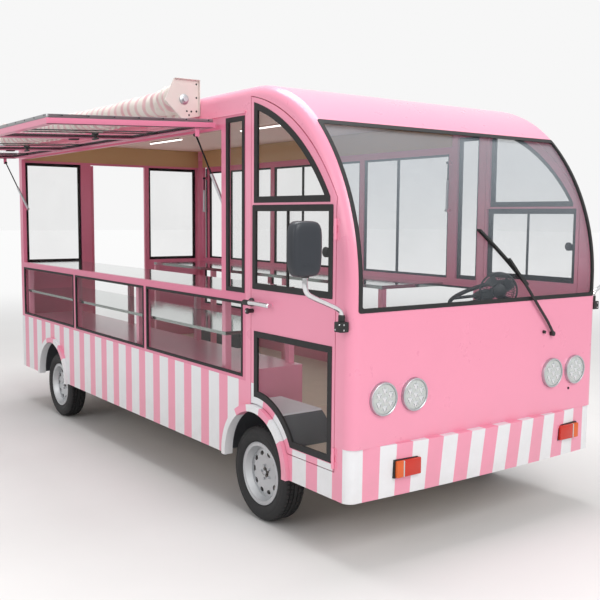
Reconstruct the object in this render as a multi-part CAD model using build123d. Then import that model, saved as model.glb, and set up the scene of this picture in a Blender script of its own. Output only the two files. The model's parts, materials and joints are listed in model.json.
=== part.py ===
from build123d import *
import math
import os

# Electric food cart: a four-wheeled food bus with a cab, two serving flaps and a rear doorway.
# Millimetres. X points forward from the front axle, Y to the left and Z up from the ground.

# Body
body_width = 1930
wheelbase = 3180
nose_x = 878
rear_overhang = 855
roof_height = 2465
skirt_bottom = 337
side_band_top = 810
front_band_top = 610
fascia_drop = 145
drip_proud = 8
drip_height = 12
wall = 30
edge_round = 60
crown_radius = 800
nose_radius = 1190
nose_split_angle = 43.6
overrun = 20
panel_gap = 5
running_gap = 1
seat_gap = 0.3

# Floor and ceiling
floor_top = 500
floor_thickness = 30
aisle_sheet = 3
aisle_gap = 10
aisle_front_x = -420
ceiling_drop = 50
ceiling_thickness = 20
ceiling_front_x = 430
cab_ceiling_inset = 70
liner_thickness = 8

# Side frames
cab_rear_x = -73
rear_post = 125
header_drop = 215
rail_top = 1310
rail_bottom = 1265
low_glass_bottom = 830
narrow_window_rear_x = -285
narrow_window_front_x = -83
narrow_window_rise = 5
narrow_window_drop = 12
service_front_x = -339
mullion_width = 40
mullion_shares = (0.7107, 0.347)
glass_thickness = 5
glass_inset = 10
seal_width = 27
seal_proud = 3
sill_seal_width = 16

# Windscreen
screen_sill_drop = 25
screen_top_drop = 225
screen_margin = 42
screen_round = 14
screen_seal_width = 22

# Cab doors
door_rear_x = -19
door_front_x = 754
door_bottom = 477
door_top_drop = 57
door_shoulder_share = 0.4836
door_bow_x = 400
door_bow_share = 0.8452
hinge_radius = 8
hinge_barrel_height = 34
hinge_leaf_reach = 22
hinge_leaf_thickness = 3
door_hinge_low_z = 550
door_hinge_drop = 151
rear_hinge_low_z = 900
rear_hinge_drop = 240
pane_top_rear_x = 15
pane_top_front_x = 700
pane_top_share = 0.4672
pane_top_margin = 38
pane_top_bow_x = 372
pane_mid_rear_x = 0
pane_mid_front_x = 726
pane_mid_rise = 35
pane_bar_height = 12
pane_mid_round = 8
pane_slide_x = 337
pane_slide_width = 10
door_seal_width = 34
pane_low_rear_x = 17
pane_low_front_x = 727
pane_low_bottom = 520
pane_low_top = 1110
pane_arch_margin = 45
pane_round = 25
handle_length = 230
handle_radius = 12
handle_post_radius = 8
handle_height = 1270
handle_stand_off = 45

# Wheels, arches and axles
tyre_radius = 275
tyre_width = 150
tyre_inset = 40
tyre_bulge_radius = 232
tyre_shoulder_width = 20
rim_flange_radius = 182.5
bead_radius = 165
well_radius = 145
rim_width = 124
rim_thickness = 5
rim_lip = 5
disc_offset = 15
disc_thickness = 6
hub_radius = 48
hub_depth = 70
vent_count = 10
vent_ring_radius = 114
vent_length = 36
vent_width = 26
stub_radius = 15
arch_radius = 295
arch_height = 355
front_arch_lead = 30
flare_width = 40
flare_depth = 25
housing_thickness = 4
housing_radius = 365
housing_top = 660
housing_side_gap = 70
kingpin_inset = 225
kingpin_radius = 20
knuckle_height = 90
beam_width = 60
fork_thickness = 20
axle_tube_radius = 35
rear_hub_inset = 165
diff_radius = 120
diff_neck = 150
motor_radius = 100
motor_length = 300

# Chassis
rail_inset = 305
rail_width = 60
rail_height = 100
rail_front_x = 740
rail_rear_margin = 155
cross_width = 50
outrigger_height = 40
cross_shares = (0.0, 0.27, 0.42, 0.58, 0.86, 1.0)
outrigger_shares = (0.27, 0.42, 0.58)
spring_half_length = 380
spring_width = 34
leaf_thickness = 6
leaf_shares = (1.0, 0.75, 0.5)
spring_sag = 20
spring_eye_radius = 15
hanger_thickness = 12
battery_length = 900
battery_side_gap = 55
battery_height = 210
battery_share = 0.5975
tow_eye_radius = 15
tow_eye_plate = 12
tow_eye_size = 60
tow_eye_drop = 65

# Front band and lamps
band_bow = 59
band_bow_bottom = 24
band_side_x = 818
band_shoulder_x = 853
band_shoulder_inset = 18
band_corner_x = 866
band_corner_inset = 60
headlamp_radius = 87
headlamp_proud = 22
headlamp_depth = 28
headlamp_height = 850
headlamp_outer_inset = 205
headlamp_inner_inset = 415
marker_width = 180
marker_height = 98
marker_z = 480
marker_right_inset = 365
marker_left_inset = 255
marker_depth = 30
marker_proud = 8
tail_lamp_width = 90
tail_lamp_height = 220
tail_lamp_inset = 105
tail_lamp_z = 660
tail_lamp_proud = 20

# Rear wall
doorway_right_y = -263
doorway_left_y = 312
rear_window_inset = 65
right_post_width = 97
left_post_width = 44
rear_window_sill_drop = 10
rear_window_top_drop = 235
rear_door_angle = 68
rear_pane_rise = 10
rear_pane_top_drop = 80
rear_pane_margin = 60
rear_low_pane_bottom = 640
rear_low_pane_top = 1240

# Serving flaps
flap_thickness = 30
flap_overlap = 60
flap_axis_rise = 23
flap_side_gap = 5
flap_frame_width = 55
flap_open_angle = 87.6
flap_end_gap = 6
flap_edge_gap = 15
flap_hinge_radius = 9
flap_hinge_length = 120
flap_hinge_shares = (0.08, 0.36, 0.64, 0.92)

# Gas struts
strut_foot_inset = 40
strut_foot_drop = 450
strut_eye_reach = 134.4
strut_eye_drop = 55.4
strut_tube_radius = 10
strut_rod_radius = 5
strut_tube_length = 215
strut_eye_radius = 10
strut_eye_width = 24
strut_inset = 30
lug_thickness = 8
lug_width = 26

# Awning
awning_front_x = -610
awning_rear_margin = 30
awning_reach = 105
awning_drop = 25
awning_radius = 88
awning_core_radius = 25
awning_plate = 12
awning_plate_foot_drop = 119
awning_plate_rise = 95
awning_plate_crown_reach = 166
awning_plate_nose_reach = 229
awning_plate_nose_drop = 38
awning_plate_chin_reach = 114
awning_plate_chin_drop = 140

# Counters
counter_depth = 505
counter_top_thickness = 25
counter_front_x = -345
counter_rear_margin = 20
shelf_height = 1060
shelf_thickness = 20
display_floor_height = 830
base_front_x = -255
counter_leg = 40
left_counter_depth = 585
left_counter_top = 1280
left_counter_front_x = -400
leg_shares = (0.0, 0.33, 0.66, 1.0)

# Cab fittings
dash_top = 1130
dash_bottom = 900
dash_depth = 180
dash_side_gap = 70
dash_nose = 90
wheel_x = 440
wheel_inset = 545
wheel_z = 1290
wheel_tilt = 65
steering_wheel_radius = 200
steering_rim_radius = 13
grip_sides = 8
column_radius = 22
seat_x = -60
seat_inset = 570
seat_width = 440
seat_depth = 420
seat_base_height = 260
seat_cushion_height = 90
backrest_height = 300
backrest_thickness = 80
seat_round = 25

# Mirrors, wiper and ceiling lamps
mirror_x = 830
mirror_reach = 245
mirror_rise = 160
mirror_height = 260
mirror_width = 172
mirror_depth = 60
mirror_round = 45
mirror_edge = 20
mirror_foot_size = 50
mirror_elbow_drop = 75
mirror_foot_drop = 90
mirror_arm_radius = 12
mirror_arm_drop = 85
wiper_pivot = (534, 1083)
wiper_nut = (465, 1097)
wiper_nut_radius = 9
wiper_knee = (482, 1154)
wiper_clip = (142, 1524)
wiper_blade_low = (301, 1380)
wiper_blade_high = (-60, 1684)
wiper_pivot_radius = 14
wiper_arm_rise = 14
wiper_arm_thickness = 8
wiper_arm_width = 14
wiper_blade_width = 12
lamp_tube_radius = 10
lamp_tube_length = 590
lamp_shares = (0.71, 0.275)

# Derived places
half = body_width / 2
rear_x = -(wheelbase + rear_overhang)
side_rear_x = rear_x + rear_post
fascia_bottom = roof_height - fascia_drop
header_bottom = roof_height - header_drop
screen_bottom = rail_top - screen_sill_drop
screen_top = roof_height - screen_top_drop
screen_half_width = half - screen_margin
door_top = roof_height - door_top_drop
door_run = door_top - rail_top
door_shoulder = rail_top + door_shoulder_share * door_run
door_bow_z = rail_top + door_bow_share * door_run
narrow_window_bottom = rail_top + narrow_window_rise
narrow_window_top = fascia_bottom - narrow_window_drop
pane_top_bottom = rail_top + pane_top_share * door_run
pane_top_top = door_top - pane_top_margin
pane_top_bow_z = door_bow_z - pane_top_margin
pane_mid_bottom = rail_top + pane_mid_rise
pane_mid_top = pane_top_bottom - pane_bar_height
rear_window_bottom = rail_top - rear_window_sill_drop
rear_window_top = roof_height - rear_window_top_drop
rear_pane_bottom = rail_top + rear_pane_rise
rear_pane_top = rear_window_top - rear_pane_top_drop
rear_window_outer_y = half - rear_window_inset
rear_window_right_y = doorway_right_y - right_post_width
rear_window_left_y = doorway_left_y + left_post_width
door_hinge_zs = (door_hinge_low_z, door_shoulder - door_hinge_drop)
rear_hinge_zs = (rear_hinge_low_z, rear_window_top - rear_hinge_drop)
service_run = service_front_x - side_rear_x
mullion_xs = [side_rear_x + share * service_run for share in mullion_shares]
tyre_outer_y = half - tyre_inset
kingpin_y = tyre_outer_y - kingpin_inset
housing_inner_y = kingpin_y - housing_side_gap
rear_hub_y = tyre_outer_y - rear_hub_inset
rail_y = kingpin_y - rail_inset
rail_rear_x = rear_x + rail_rear_margin
battery_x = -battery_share * wheelbase
battery_width = 2 * rail_y - rail_width - 2 * battery_side_gap
band_corner_y = half - band_corner_inset
band_shoulder_y = half - band_shoulder_inset
headlamp_outer_y = half - headlamp_outer_inset
headlamp_inner_y = half - headlamp_inner_inset
headlamp_ys = (-headlamp_outer_y, -headlamp_inner_y, headlamp_inner_y, headlamp_outer_y)
marker_ys = (marker_right_inset - half, half - marker_left_inset)
tail_lamp_y = half - tail_lamp_inset
flap_length = header_bottom - rail_top + flap_overlap
flap_axis_z = header_bottom + flap_axis_rise
strut_foot_y = half - strut_foot_inset
strut_foot_z = header_bottom - strut_foot_drop
awning_rear_x = side_rear_x + awning_rear_margin
awning_y = half + awning_reach
awning_z = roof_height - awning_drop
counter_rear_x = side_rear_x + counter_rear_margin
mirror_y = half + mirror_reach
mirror_bottom = rail_top + mirror_rise
mirror_foot_z = rail_top - mirror_foot_drop
wheel_y = half - wheel_inset
seat_y = half - seat_inset
ceiling_bottom = roof_height - ceiling_drop
lamp_xs = [side_rear_x + share * service_run for share in lamp_shares]
inner_half = half - wall
left_counter_inner_y = inner_half - left_counter_depth
dash_half_width = half - dash_side_gap
floor_bottom = floor_top - floor_thickness
crown_run = crown_radius * math.cos(math.radians(nose_split_angle))
nose_run = nose_radius * (1 - math.cos(math.radians(nose_split_angle)))
crown_x = nose_x - crown_run - nose_run
crown_z = roof_height - crown_radius
nose_centre_x = nose_x - nose_radius
nose_centre_z = crown_z - (nose_radius - crown_radius) * math.sin(math.radians(nose_split_angle))
wheel_y_centre = tyre_outer_y - tyre_width / 2
front_arch_x = front_arch_lead
rear_arch_x = -wheelbase
rail_bottom_z = floor_bottom - rail_height
rail_length = rail_front_x - rail_rear_x
flap_axis_y = half + flap_side_gap + flap_thickness / 2

pieces = {}


def keep(name, shape):
    """File a piece under its node name."""
    pieces[name] = shape


def block(x0, x1, y0, y1, z0, z1):
    """Box between two corners."""
    box = Box(abs(x1 - x0), abs(y1 - y0), abs(z1 - z0))
    return Pos((x0 + x1) / 2, (y0 + y1) / 2, (z0 + z1) / 2) * box


def rod(start, end, radius):
    """Round bar between two points."""
    a = Vector(*start)
    b = Vector(*end)
    plane = Plane(origin=a, z_dir=b - a)
    return extrude(plane * Circle(radius), amount=(b - a).length)


def side_prism(face, y0, y1):
    """Extrude an X, Z outline between two distances from the centreline, on the right."""
    start = Plane.XZ.offset(y0)
    return extrude(start * face, amount=y1 - y0)


def to_left(shape):
    """The left-hand copy of a right-hand piece."""
    return mirror(shape, about=Plane.XZ)


def body_form(inset, bottom):
    """Outer form of the whole body, drawn in by an inset on every face but the bottom."""
    top = roof_height - inset
    front = nose_x - inset
    back = rear_x + inset
    side = half - inset
    crown = CenterArc((crown_x, crown_z), crown_radius - inset, nose_split_angle, 90 - nose_split_angle)
    nose = CenterArc((nose_centre_x, nose_centre_z), nose_radius - inset, 0, nose_split_angle)
    rest = Polyline(crown @ 1, (back, top), (back, bottom), (front, bottom), nose @ 0)
    section = make_face(crown + nose + rest)
    form = extrude(Plane.XZ * section, amount=side, both=True)
    reach = running_gap / 2
    rim = []
    for edge in form.edges():
        centre = edge.center()
        on_side = abs(centre.Y) > side - reach
        on_back = centre.X < back + reach
        if centre.Z > bottom + reach and (on_side or on_back):
            rim.append(edge)
    return fillet(rim, edge_round - inset)


outer_form = body_form(0, skirt_bottom)
inner_form = body_form(wall, skirt_bottom - overrun)
skin = outer_form - inner_form


# Doors
def bowed_outline(back, front, bottom, shoulder, top, bow, gap=0):
    """D outline: straight sides and bottom, and a bowed front that leans back to the top."""
    back += gap
    front -= gap
    bottom += gap
    top -= gap
    bow = (bow[0] - gap, bow[1] - gap)
    bend = ThreePointArc((front, shoulder), bow, (back, top))
    rest = Polyline((back, top), (back, bottom), (front, bottom), (front, shoulder))
    return make_face(bend + rest)


def arch_disc(centre_x, radius):
    """Round face of a wheel arch, in X and Z."""
    return Pos(centre_x, arch_height) * Circle(radius)


def rounded(face, radius):
    """Round the corners of a flat outline."""
    return fillet(face.vertices(), radius)


arch_rim = arch_radius + flare_width
door_sizes = (door_rear_x, door_front_x, door_bottom, door_shoulder, door_top, (door_bow_x, door_bow_z))
door_face = bowed_outline(*door_sizes) - arch_disc(front_arch_x, arch_rim)
leaf_face = bowed_outline(*door_sizes, gap=panel_gap) - arch_disc(front_arch_x, arch_rim + panel_gap)
pane_top = bowed_outline(
    pane_top_rear_x, pane_top_front_x, pane_top_bottom, pane_top_bottom + pane_round,
    pane_top_top, (pane_top_bow_x, pane_top_bow_z)
)
pane_mid = make_face(Polyline(
    (pane_mid_rear_x, pane_mid_bottom), (pane_mid_front_x, pane_mid_bottom),
    (pane_mid_front_x, pane_mid_top), (pane_mid_rear_x, pane_mid_top), close=True
))
pane_mid = rounded(pane_mid, pane_mid_round)
pane_low = make_face(Polyline(
    (pane_low_rear_x, pane_low_bottom), (pane_low_front_x, pane_low_bottom),
    (pane_low_front_x, pane_low_top), (pane_low_rear_x, pane_low_top), close=True
))
pane_low = pane_low - arch_disc(front_arch_x, arch_rim + pane_arch_margin)
door_panes = (pane_top, pane_mid, pane_low)
skin_inner = half - wall - edge_round
skin_outer = half + overrun
glass_inner = half - glass_inset - glass_thickness
glass_outer = half - glass_inset
door_leaf = skin & side_prism(leaf_face, skin_inner, skin_outer)
door_glass = []
for pane in door_panes:
    door_leaf -= side_prism(pane, skin_inner, skin_outer)
    door_glass.append(side_prism(pane, glass_inner, glass_outer))
door_seals = []
for pane in door_panes:
    sight = offset(pane, -door_seal_width, kind=Kind.INTERSECTION)
    if pane is pane_mid:
        slide = Pos(pane_slide_x, (pane_mid_bottom + pane_mid_top) / 2)
        sight -= slide * Rectangle(pane_slide_width, pane_mid_top - pane_mid_bottom)
    door_seals.append(side_prism(pane - sight, glass_outer, half + seal_proud))
handle_y = half + handle_stand_off
handle_posts = (2 * handle_radius, handle_length - 2 * handle_radius)
grip_x = door_rear_x + panel_gap
handle = rod((grip_x, -handle_y, handle_height), (grip_x + handle_length, -handle_y, handle_height), handle_radius)
for post in handle_posts:
    foot = grip_x + post
    handle += rod((foot, -half, handle_height), (foot, -handle_y, handle_height), handle_post_radius)
door_leaf += handle
door_hinge_x = door_front_x - panel_gap / 2
door_hinge_y = half + hinge_radius


def hinge_set(heights):
    """Fixed and moving halves of upright hinges about the origin, the moving leaf towards negative X."""
    fixed = None
    moving = None
    part_height = hinge_barrel_height + seat_gap
    for z in heights:
        for step in (-1, 0, 1):
            low = z + step * part_height - hinge_barrel_height / 2
            high = low + hinge_barrel_height
            way = -1 if step == 0 else 1
            knuckle = rod((0, 0, low), (0, 0, high), hinge_radius)
            knuckle += block(0, way * hinge_leaf_reach, hinge_radius - hinge_leaf_thickness, hinge_radius, low, high)
            if step == 0:
                moving = knuckle if moving is None else moving + knuckle
            else:
                fixed = knuckle if fixed is None else fixed + knuckle
    return fixed, moving


hinge_fixed, hinge_moving = hinge_set(door_hinge_zs)
door_hinge_place = Pos(door_hinge_x, -door_hinge_y, 0)
door_leaf += door_hinge_place * hinge_moving
door_hinge_fixed = door_hinge_place * hinge_fixed
keep("door_panel_right", door_leaf)
keep("door_panel_left", to_left(door_leaf))
keep("door_glass_right", Compound(door_glass))
keep("door_glass_left", to_left(Compound(door_glass)))
keep("door_seals_right", Compound(door_seals))
keep("door_seals_left", to_left(Compound(door_seals)))

# Cab shell with its door openings and windscreen
cab_shell = skin & block(cab_rear_x, nose_x + overrun, -skin_outer, skin_outer, front_band_top, roof_height + overrun)
door_hole = side_prism(door_face, skin_inner, skin_outer)
arch_hole = side_prism(arch_disc(front_arch_x, arch_rim), skin_inner, skin_outer)
screen_face = RectangleRounded(2 * screen_half_width, screen_top - screen_bottom, screen_round)
screen_face = Plane.YZ * Pos(0, (screen_top + screen_bottom) / 2) * screen_face
screen_prism = Pos(crown_x + crown_run / 2, 0, 0) * extrude(screen_face, amount=nose_x)
cab_shell -= door_hole + to_left(door_hole) + arch_hole + to_left(arch_hole) + screen_prism
glass_outer_form = body_form(glass_inset, skirt_bottom)
glass_inner_form = body_form(glass_inset + glass_thickness, skirt_bottom - overrun)
windscreen = (glass_outer_form - glass_inner_form) & screen_prism
sight_size = (2 * (screen_half_width - screen_seal_width), screen_top - screen_bottom - 2 * screen_seal_width)
sight_face = Plane.YZ * Pos(0, (screen_top + screen_bottom) / 2) * RectangleRounded(*sight_size, screen_round)
sight_prism = Pos(crown_x + crown_run / 2, 0, 0) * extrude(sight_face, amount=nose_x)
seals = list(((body_form(-seal_proud, skirt_bottom) - glass_outer_form) & (screen_prism - sight_prism)).solids())
for lamp_place in headlamp_ys:
    seat = Pos(nose_x - headlamp_depth, lamp_place, headlamp_height) * Rot(0, 90, 0)
    cab_shell -= seat * extrude(Circle(headlamp_radius), amount=headlamp_depth + headlamp_proud)
upper_hinges = door_hinge_fixed & block(0, nose_x, -half - edge_round, -half, front_band_top, roof_height)
lower_hinges = door_hinge_fixed - upper_hinges
cab_shell += upper_hinges + to_left(upper_hinges)
keep("cab_shell", cab_shell)
keep("windscreen", windscreen)

# Roof and ceiling
roof = skin & block(rear_x - overrun, cab_rear_x, -skin_outer, skin_outer, fascia_bottom, roof_height + overrun)
for side in (-1, 1):
    roof += block(
        side_rear_x, cab_rear_x, side * half, side * (half + drip_proud), fascia_bottom, fascia_bottom + drip_height
    )
keep("roof_panel", roof)
ceiling_top = ceiling_bottom + ceiling_thickness
ceiling = block(rear_x + wall, cab_rear_x, -inner_half, inner_half, ceiling_bottom, ceiling_top)
cab_half = inner_half - cab_ceiling_inset
ceiling += block(cab_rear_x - overrun, ceiling_front_x, -cab_half, cab_half, ceiling_bottom, ceiling_top)
for side in (-1, 1):
    ceiling += block(
        side_rear_x, service_front_x, side * inner_half, side * (inner_half - liner_thickness),
        header_bottom, ceiling_top
    )
ceiling += block(
    rear_x + wall, rear_x + wall + liner_thickness, -inner_half, inner_half, header_bottom, ceiling_top
)
keep("ceiling_panel", ceiling & inner_form)

# Side frames: pillars, counter rail, mullions and header
side_frame = skin & block(side_rear_x, cab_rear_x, -skin_outer, 0, side_band_top, fascia_bottom)


def side_window(x0, x1, z0, z1):
    """Cutting block for a window in the right side."""
    return block(x0, x1, -skin_outer, -skin_inner, z0, z1)


side_frame -= side_window(side_rear_x, service_front_x, rail_top, header_bottom)
narrow_window = (narrow_window_rear_x, narrow_window_front_x, narrow_window_bottom, narrow_window_top)
side_frame -= side_window(*narrow_window)
pane_edges = [cab_rear_x - wall]
for mullion_x in mullion_xs:
    pane_edges.append(mullion_x + mullion_width / 2)
    pane_edges.append(mullion_x - mullion_width / 2)
pane_edges.append(side_rear_x)
side_openings = [(*narrow_window, seal_width)]
for bay in range(0, len(pane_edges), 2):
    front_edge = pane_edges[bay]
    back_edge = pane_edges[bay + 1]
    side_frame -= side_window(back_edge, front_edge, low_glass_bottom, rail_bottom)
    side_openings.append((back_edge, front_edge, low_glass_bottom, rail_bottom, sill_seal_width))
glass_panes = []
for x0, x1, z0, z1, seal in side_openings:
    pane = block(x0, x1, -glass_outer, -glass_inner, z0, z1)
    ring = block(x0, x1, -half - seal_proud, -glass_outer, z0, z1)
    ring -= block(x0 + seal, x1 - seal, -skin_outer, -skin_inner, z0 + seal, z1 - seal)
    glass_panes += [pane, to_left(pane)]
    seals += [ring, to_left(ring)]

# Skirts, arches and the rear wall
skirt = skin & block(side_rear_x, cab_rear_x, -skin_outer, 0, skirt_bottom, side_band_top)
skirt += skin & block(cab_rear_x, band_side_x, -skin_outer, 0, skirt_bottom, front_band_top)
for arch_x in (front_arch_x, rear_arch_x):
    skirt -= side_prism(arch_disc(arch_x, arch_rim), skin_inner, skin_outer)
skirt -= door_hole
skirt += lower_hinges
keep("side_skirts", Compound([skirt, to_left(skirt)]))
flares = []
flare_outer = half + flare_depth
for arch_x in (front_arch_x, rear_arch_x):
    ring = arch_disc(arch_x, arch_rim) - arch_disc(arch_x, arch_radius)
    ring -= Pos(arch_x, skirt_bottom - arch_rim) * Rectangle(2 * arch_rim + overrun, 2 * arch_rim)
    flare = side_prism(ring, inner_half, flare_outer)
    flares.append(flare)
    flares.append(to_left(flare))
keep("arch_flares", Compound(flares))
rear_wall = skin & block(rear_x - overrun, side_rear_x, -skin_outer, skin_outer, skirt_bottom, fascia_bottom)
doorway = block(rear_x - overrun, rear_x + wall, doorway_right_y, doorway_left_y, floor_top, rear_window_top)
rear_wall -= doorway
rear_bays = ((-rear_window_outer_y, rear_window_right_y), (rear_window_left_y, rear_window_outer_y))
rear_glass_front = rear_x + glass_inset + glass_thickness
for bay_right, bay_left in rear_bays:
    rear_wall -= block(rear_x - overrun, rear_x + wall, bay_right, bay_left, rear_window_bottom, rear_window_top)
    pane = block(rear_x + glass_inset, rear_glass_front, bay_right, bay_left, rear_window_bottom, rear_window_top)
    glass_panes.append(pane)
    ring = block(rear_x - seal_proud, rear_x + glass_inset, bay_right, bay_left, rear_window_bottom, rear_window_top)
    seals.append(ring - block(
        rear_x - overrun, rear_x + wall, bay_right + seal_width, bay_left - seal_width,
        rear_window_bottom + seal_width, rear_window_top - seal_width
    ))
keep("window_seals", Compound(seals))
lower_cut = (rear_x - overrun, side_rear_x, -skin_outer, skin_outer)
rear_frame = rear_wall & block(*lower_cut, side_band_top, fascia_bottom)
keep("body_glass", Compound(glass_panes))
rear_skirt = rear_wall & block(*lower_cut, skirt_bottom, side_band_top)
signal_lamps = []
for side in (-1, 1):
    lamp_y0 = side * tail_lamp_y - tail_lamp_width / 2
    lamp_z0 = tail_lamp_z - tail_lamp_height / 2
    lamp = block(
        rear_x - tail_lamp_proud, rear_x + wall, lamp_y0, lamp_y0 + tail_lamp_width, lamp_z0, lamp_z0 + tail_lamp_height
    )
    rear_skirt -= lamp
    signal_lamps.append(lamp)
keep("rear_skirt", rear_skirt)

# Front band, bowed in plan and leaning in to its lower edge
band_height = front_band_top - skirt_bottom


def band_plan(bow, inset, z):
    """Plan outline of the front band at one height."""
    side = half - inset
    front = band_corner_x - inset
    inset_aslant = inset * math.cos(math.radians(45))
    shoulder_x = band_shoulder_x - inset_aslant
    shoulder_y = band_shoulder_y - inset_aslant
    bend = ThreePointArc((front, -band_corner_y), (front + bow, 0), (front, band_corner_y))
    left = ThreePointArc((front, band_corner_y), (shoulder_x, shoulder_y), (band_side_x, side))
    right = ThreePointArc((band_side_x, -side), (shoulder_x, -shoulder_y), (front, -band_corner_y))
    return Pos(0, 0, z) * make_face(bend + left + Line((band_side_x, side), (band_side_x, -side)) + right)


band = loft([band_plan(band_bow_bottom, 0, skirt_bottom), band_plan(band_bow, 0, front_band_top)])
hollow_top = front_band_top - wall
band_hollow = loft([band_plan(band_bow_bottom, wall, skirt_bottom), band_plan(band_bow, wall, hollow_top)])
band -= band_hollow
for marker_y in marker_ys:
    marker_rise = (marker_z - skirt_bottom) / band_height
    marker_bow = band_bow_bottom + (band_bow - band_bow_bottom) * marker_rise
    marker_front_x = band_corner_x + marker_bow * (1 - (marker_y / band_corner_y) ** 2) + marker_proud
    marker = block(
        marker_front_x - marker_depth, marker_front_x, marker_y - marker_width / 2, marker_y + marker_width / 2,
        marker_z - marker_height / 2, marker_z + marker_height / 2
    )
    band -= marker
    signal_lamps.append(marker)
keep("front_band", band)
keep("signal_lamps", Compound(signal_lamps))
headlamps = []
for lamp_place in headlamp_ys:
    seat = Pos(nose_x - headlamp_depth, lamp_place, headlamp_height) * Rot(0, 90, 0)
    headlamps.append(seat * extrude(Circle(headlamp_radius), amount=headlamp_depth + headlamp_proud))
keep("headlamps", Compound(headlamps))

# Wheels: the axis runs along Y, with the outer face towards negative Y
half_width = tyre_width / 2
rim_half = rim_width / 2


tyre_seat = rim_half - rim_lip
tread_half = half_width - tyre_shoulder_width
tyre_points = (
    (bead_radius, tyre_seat), (rim_flange_radius, tyre_seat), (tyre_bulge_radius, half_width),
    (tyre_radius, tread_half), (tyre_radius, -tread_half), (tyre_bulge_radius, -half_width),
    (rim_flange_radius, -tyre_seat), (bead_radius, -tyre_seat),
)
tyre = revolve(make_face(Polyline(*tyre_points, close=True)), axis=Axis.Y)
seat_in = bead_radius - rim_thickness
well_in = well_radius - rim_thickness
well_half = tyre_seat / 2
barrel_points = (
    (rim_flange_radius, rim_half), (rim_flange_radius, tyre_seat), (bead_radius, tyre_seat),
    (well_radius, well_half), (well_radius, -well_half), (bead_radius, -tyre_seat),
    (rim_flange_radius, -tyre_seat), (rim_flange_radius, -rim_half), (seat_in, -rim_half),
    (well_in, -well_half), (well_in, well_half), (seat_in, rim_half),
)
barrel = revolve(make_face(Polyline(*barrel_points, close=True)), axis=Axis.Y)
bore_radius = stub_radius + seat_gap
disc_y = -disc_offset
disc_points = (
    (bore_radius, disc_y - disc_thickness), (hub_radius, disc_y - disc_thickness),
    (vent_ring_radius, disc_y - disc_thickness - rim_thickness), (well_in, disc_y - disc_thickness),
    (well_in, disc_y), (vent_ring_radius, disc_y - rim_thickness), (hub_radius, disc_y),
    (hub_radius, disc_y + hub_depth), (bore_radius, disc_y + hub_depth),
)
disc = revolve(make_face(Polyline(*disc_points, close=True)), axis=Axis.Y)
for vent in range(vent_count):
    slot = Rot(0, vent * 360 / vent_count, 0) * Pos(vent_ring_radius, disc_y, 0) * Rot(90, 0, 0)
    disc -= slot * extrude(Ellipse(vent_width / 2, vent_length / 2), amount=hub_depth, both=True)
rim = barrel + disc
wheel_places = (
    ("front_right", 0, -1), ("front_left", 0, 1), ("rear_right", -wheelbase, -1), ("rear_left", -wheelbase, 1),
)
for wheel_name, axle_x, side in wheel_places:
    place = Pos(axle_x, side * wheel_y_centre, tyre_radius)
    if side > 0:
        place = place * Rot(0, 0, 180)
    keep("tyre_" + wheel_name, place * tyre)
    keep("rim_" + wheel_name, place * rim)
hub_face_y = wheel_y_centre - (disc_y + hub_depth)
stub_end_y = wheel_y_centre - disc_y

# Front axle beam, knuckles and rear axle
fork_half = knuckle_height / 2 + seat_gap
fork_outer = fork_half + fork_thickness
beam_end_y = kingpin_y - kingpin_radius - fork_thickness
beam = block(
    -beam_width / 2, beam_width / 2, -beam_end_y, beam_end_y,
    tyre_radius - axle_tube_radius, tyre_radius + axle_tube_radius
)
knuckles = []
for side in (-1, 1):
    beam += block(
        -beam_width / 2, beam_width / 2, side * (beam_end_y - fork_thickness), side * beam_end_y,
        tyre_radius - fork_outer, tyre_radius + fork_outer
    )
    for up in (-1, 1):
        beam += block(
            -beam_width / 2, beam_width / 2, side * beam_end_y, side * (kingpin_y + kingpin_radius),
            tyre_radius + up * fork_half, tyre_radius + up * fork_outer
        )
    boss_low = (0, side * kingpin_y, tyre_radius - knuckle_height / 2)
    boss_high = (0, side * kingpin_y, tyre_radius + knuckle_height / 2)
    knuckle = rod(boss_low, boss_high, kingpin_radius)
    knuckle += rod((0, side * kingpin_y, tyre_radius), (0, side * (hub_face_y - running_gap), tyre_radius), hub_radius / 2)
    knuckle += rod((0, side * kingpin_y, tyre_radius), (0, side * stub_end_y, tyre_radius), stub_radius)
    knuckles.append(knuckle)
keep("front_axle", beam)
keep("knuckle_right", knuckles[0])
keep("knuckle_left", knuckles[1])
rear_axle = rod((-wheelbase, -rear_hub_y, tyre_radius), (-wheelbase, rear_hub_y, tyre_radius), axle_tube_radius)
rear_axle += rod((-wheelbase, -stub_end_y, tyre_radius), (-wheelbase, stub_end_y, tyre_radius), stub_radius)
diff_points = (
    (axle_tube_radius, -diff_neck), (diff_radius, -diff_neck / 3), (diff_radius, diff_neck / 3),
    (axle_tube_radius, diff_neck), (0, diff_neck), (0, -diff_neck),
)
diff_place = Pos(-wheelbase, 0, tyre_radius)
rear_axle += diff_place * revolve(make_face(Polyline(*diff_points, close=True)), axis=Axis.Y)
keep("rear_axle", rear_axle)
motor_x = -wheelbase + diff_radius
motor_front_x = motor_x + motor_length
keep("drive_motor", rod((motor_x, 0, tyre_radius), (motor_front_x, 0, tyre_radius), motor_radius))

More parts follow.
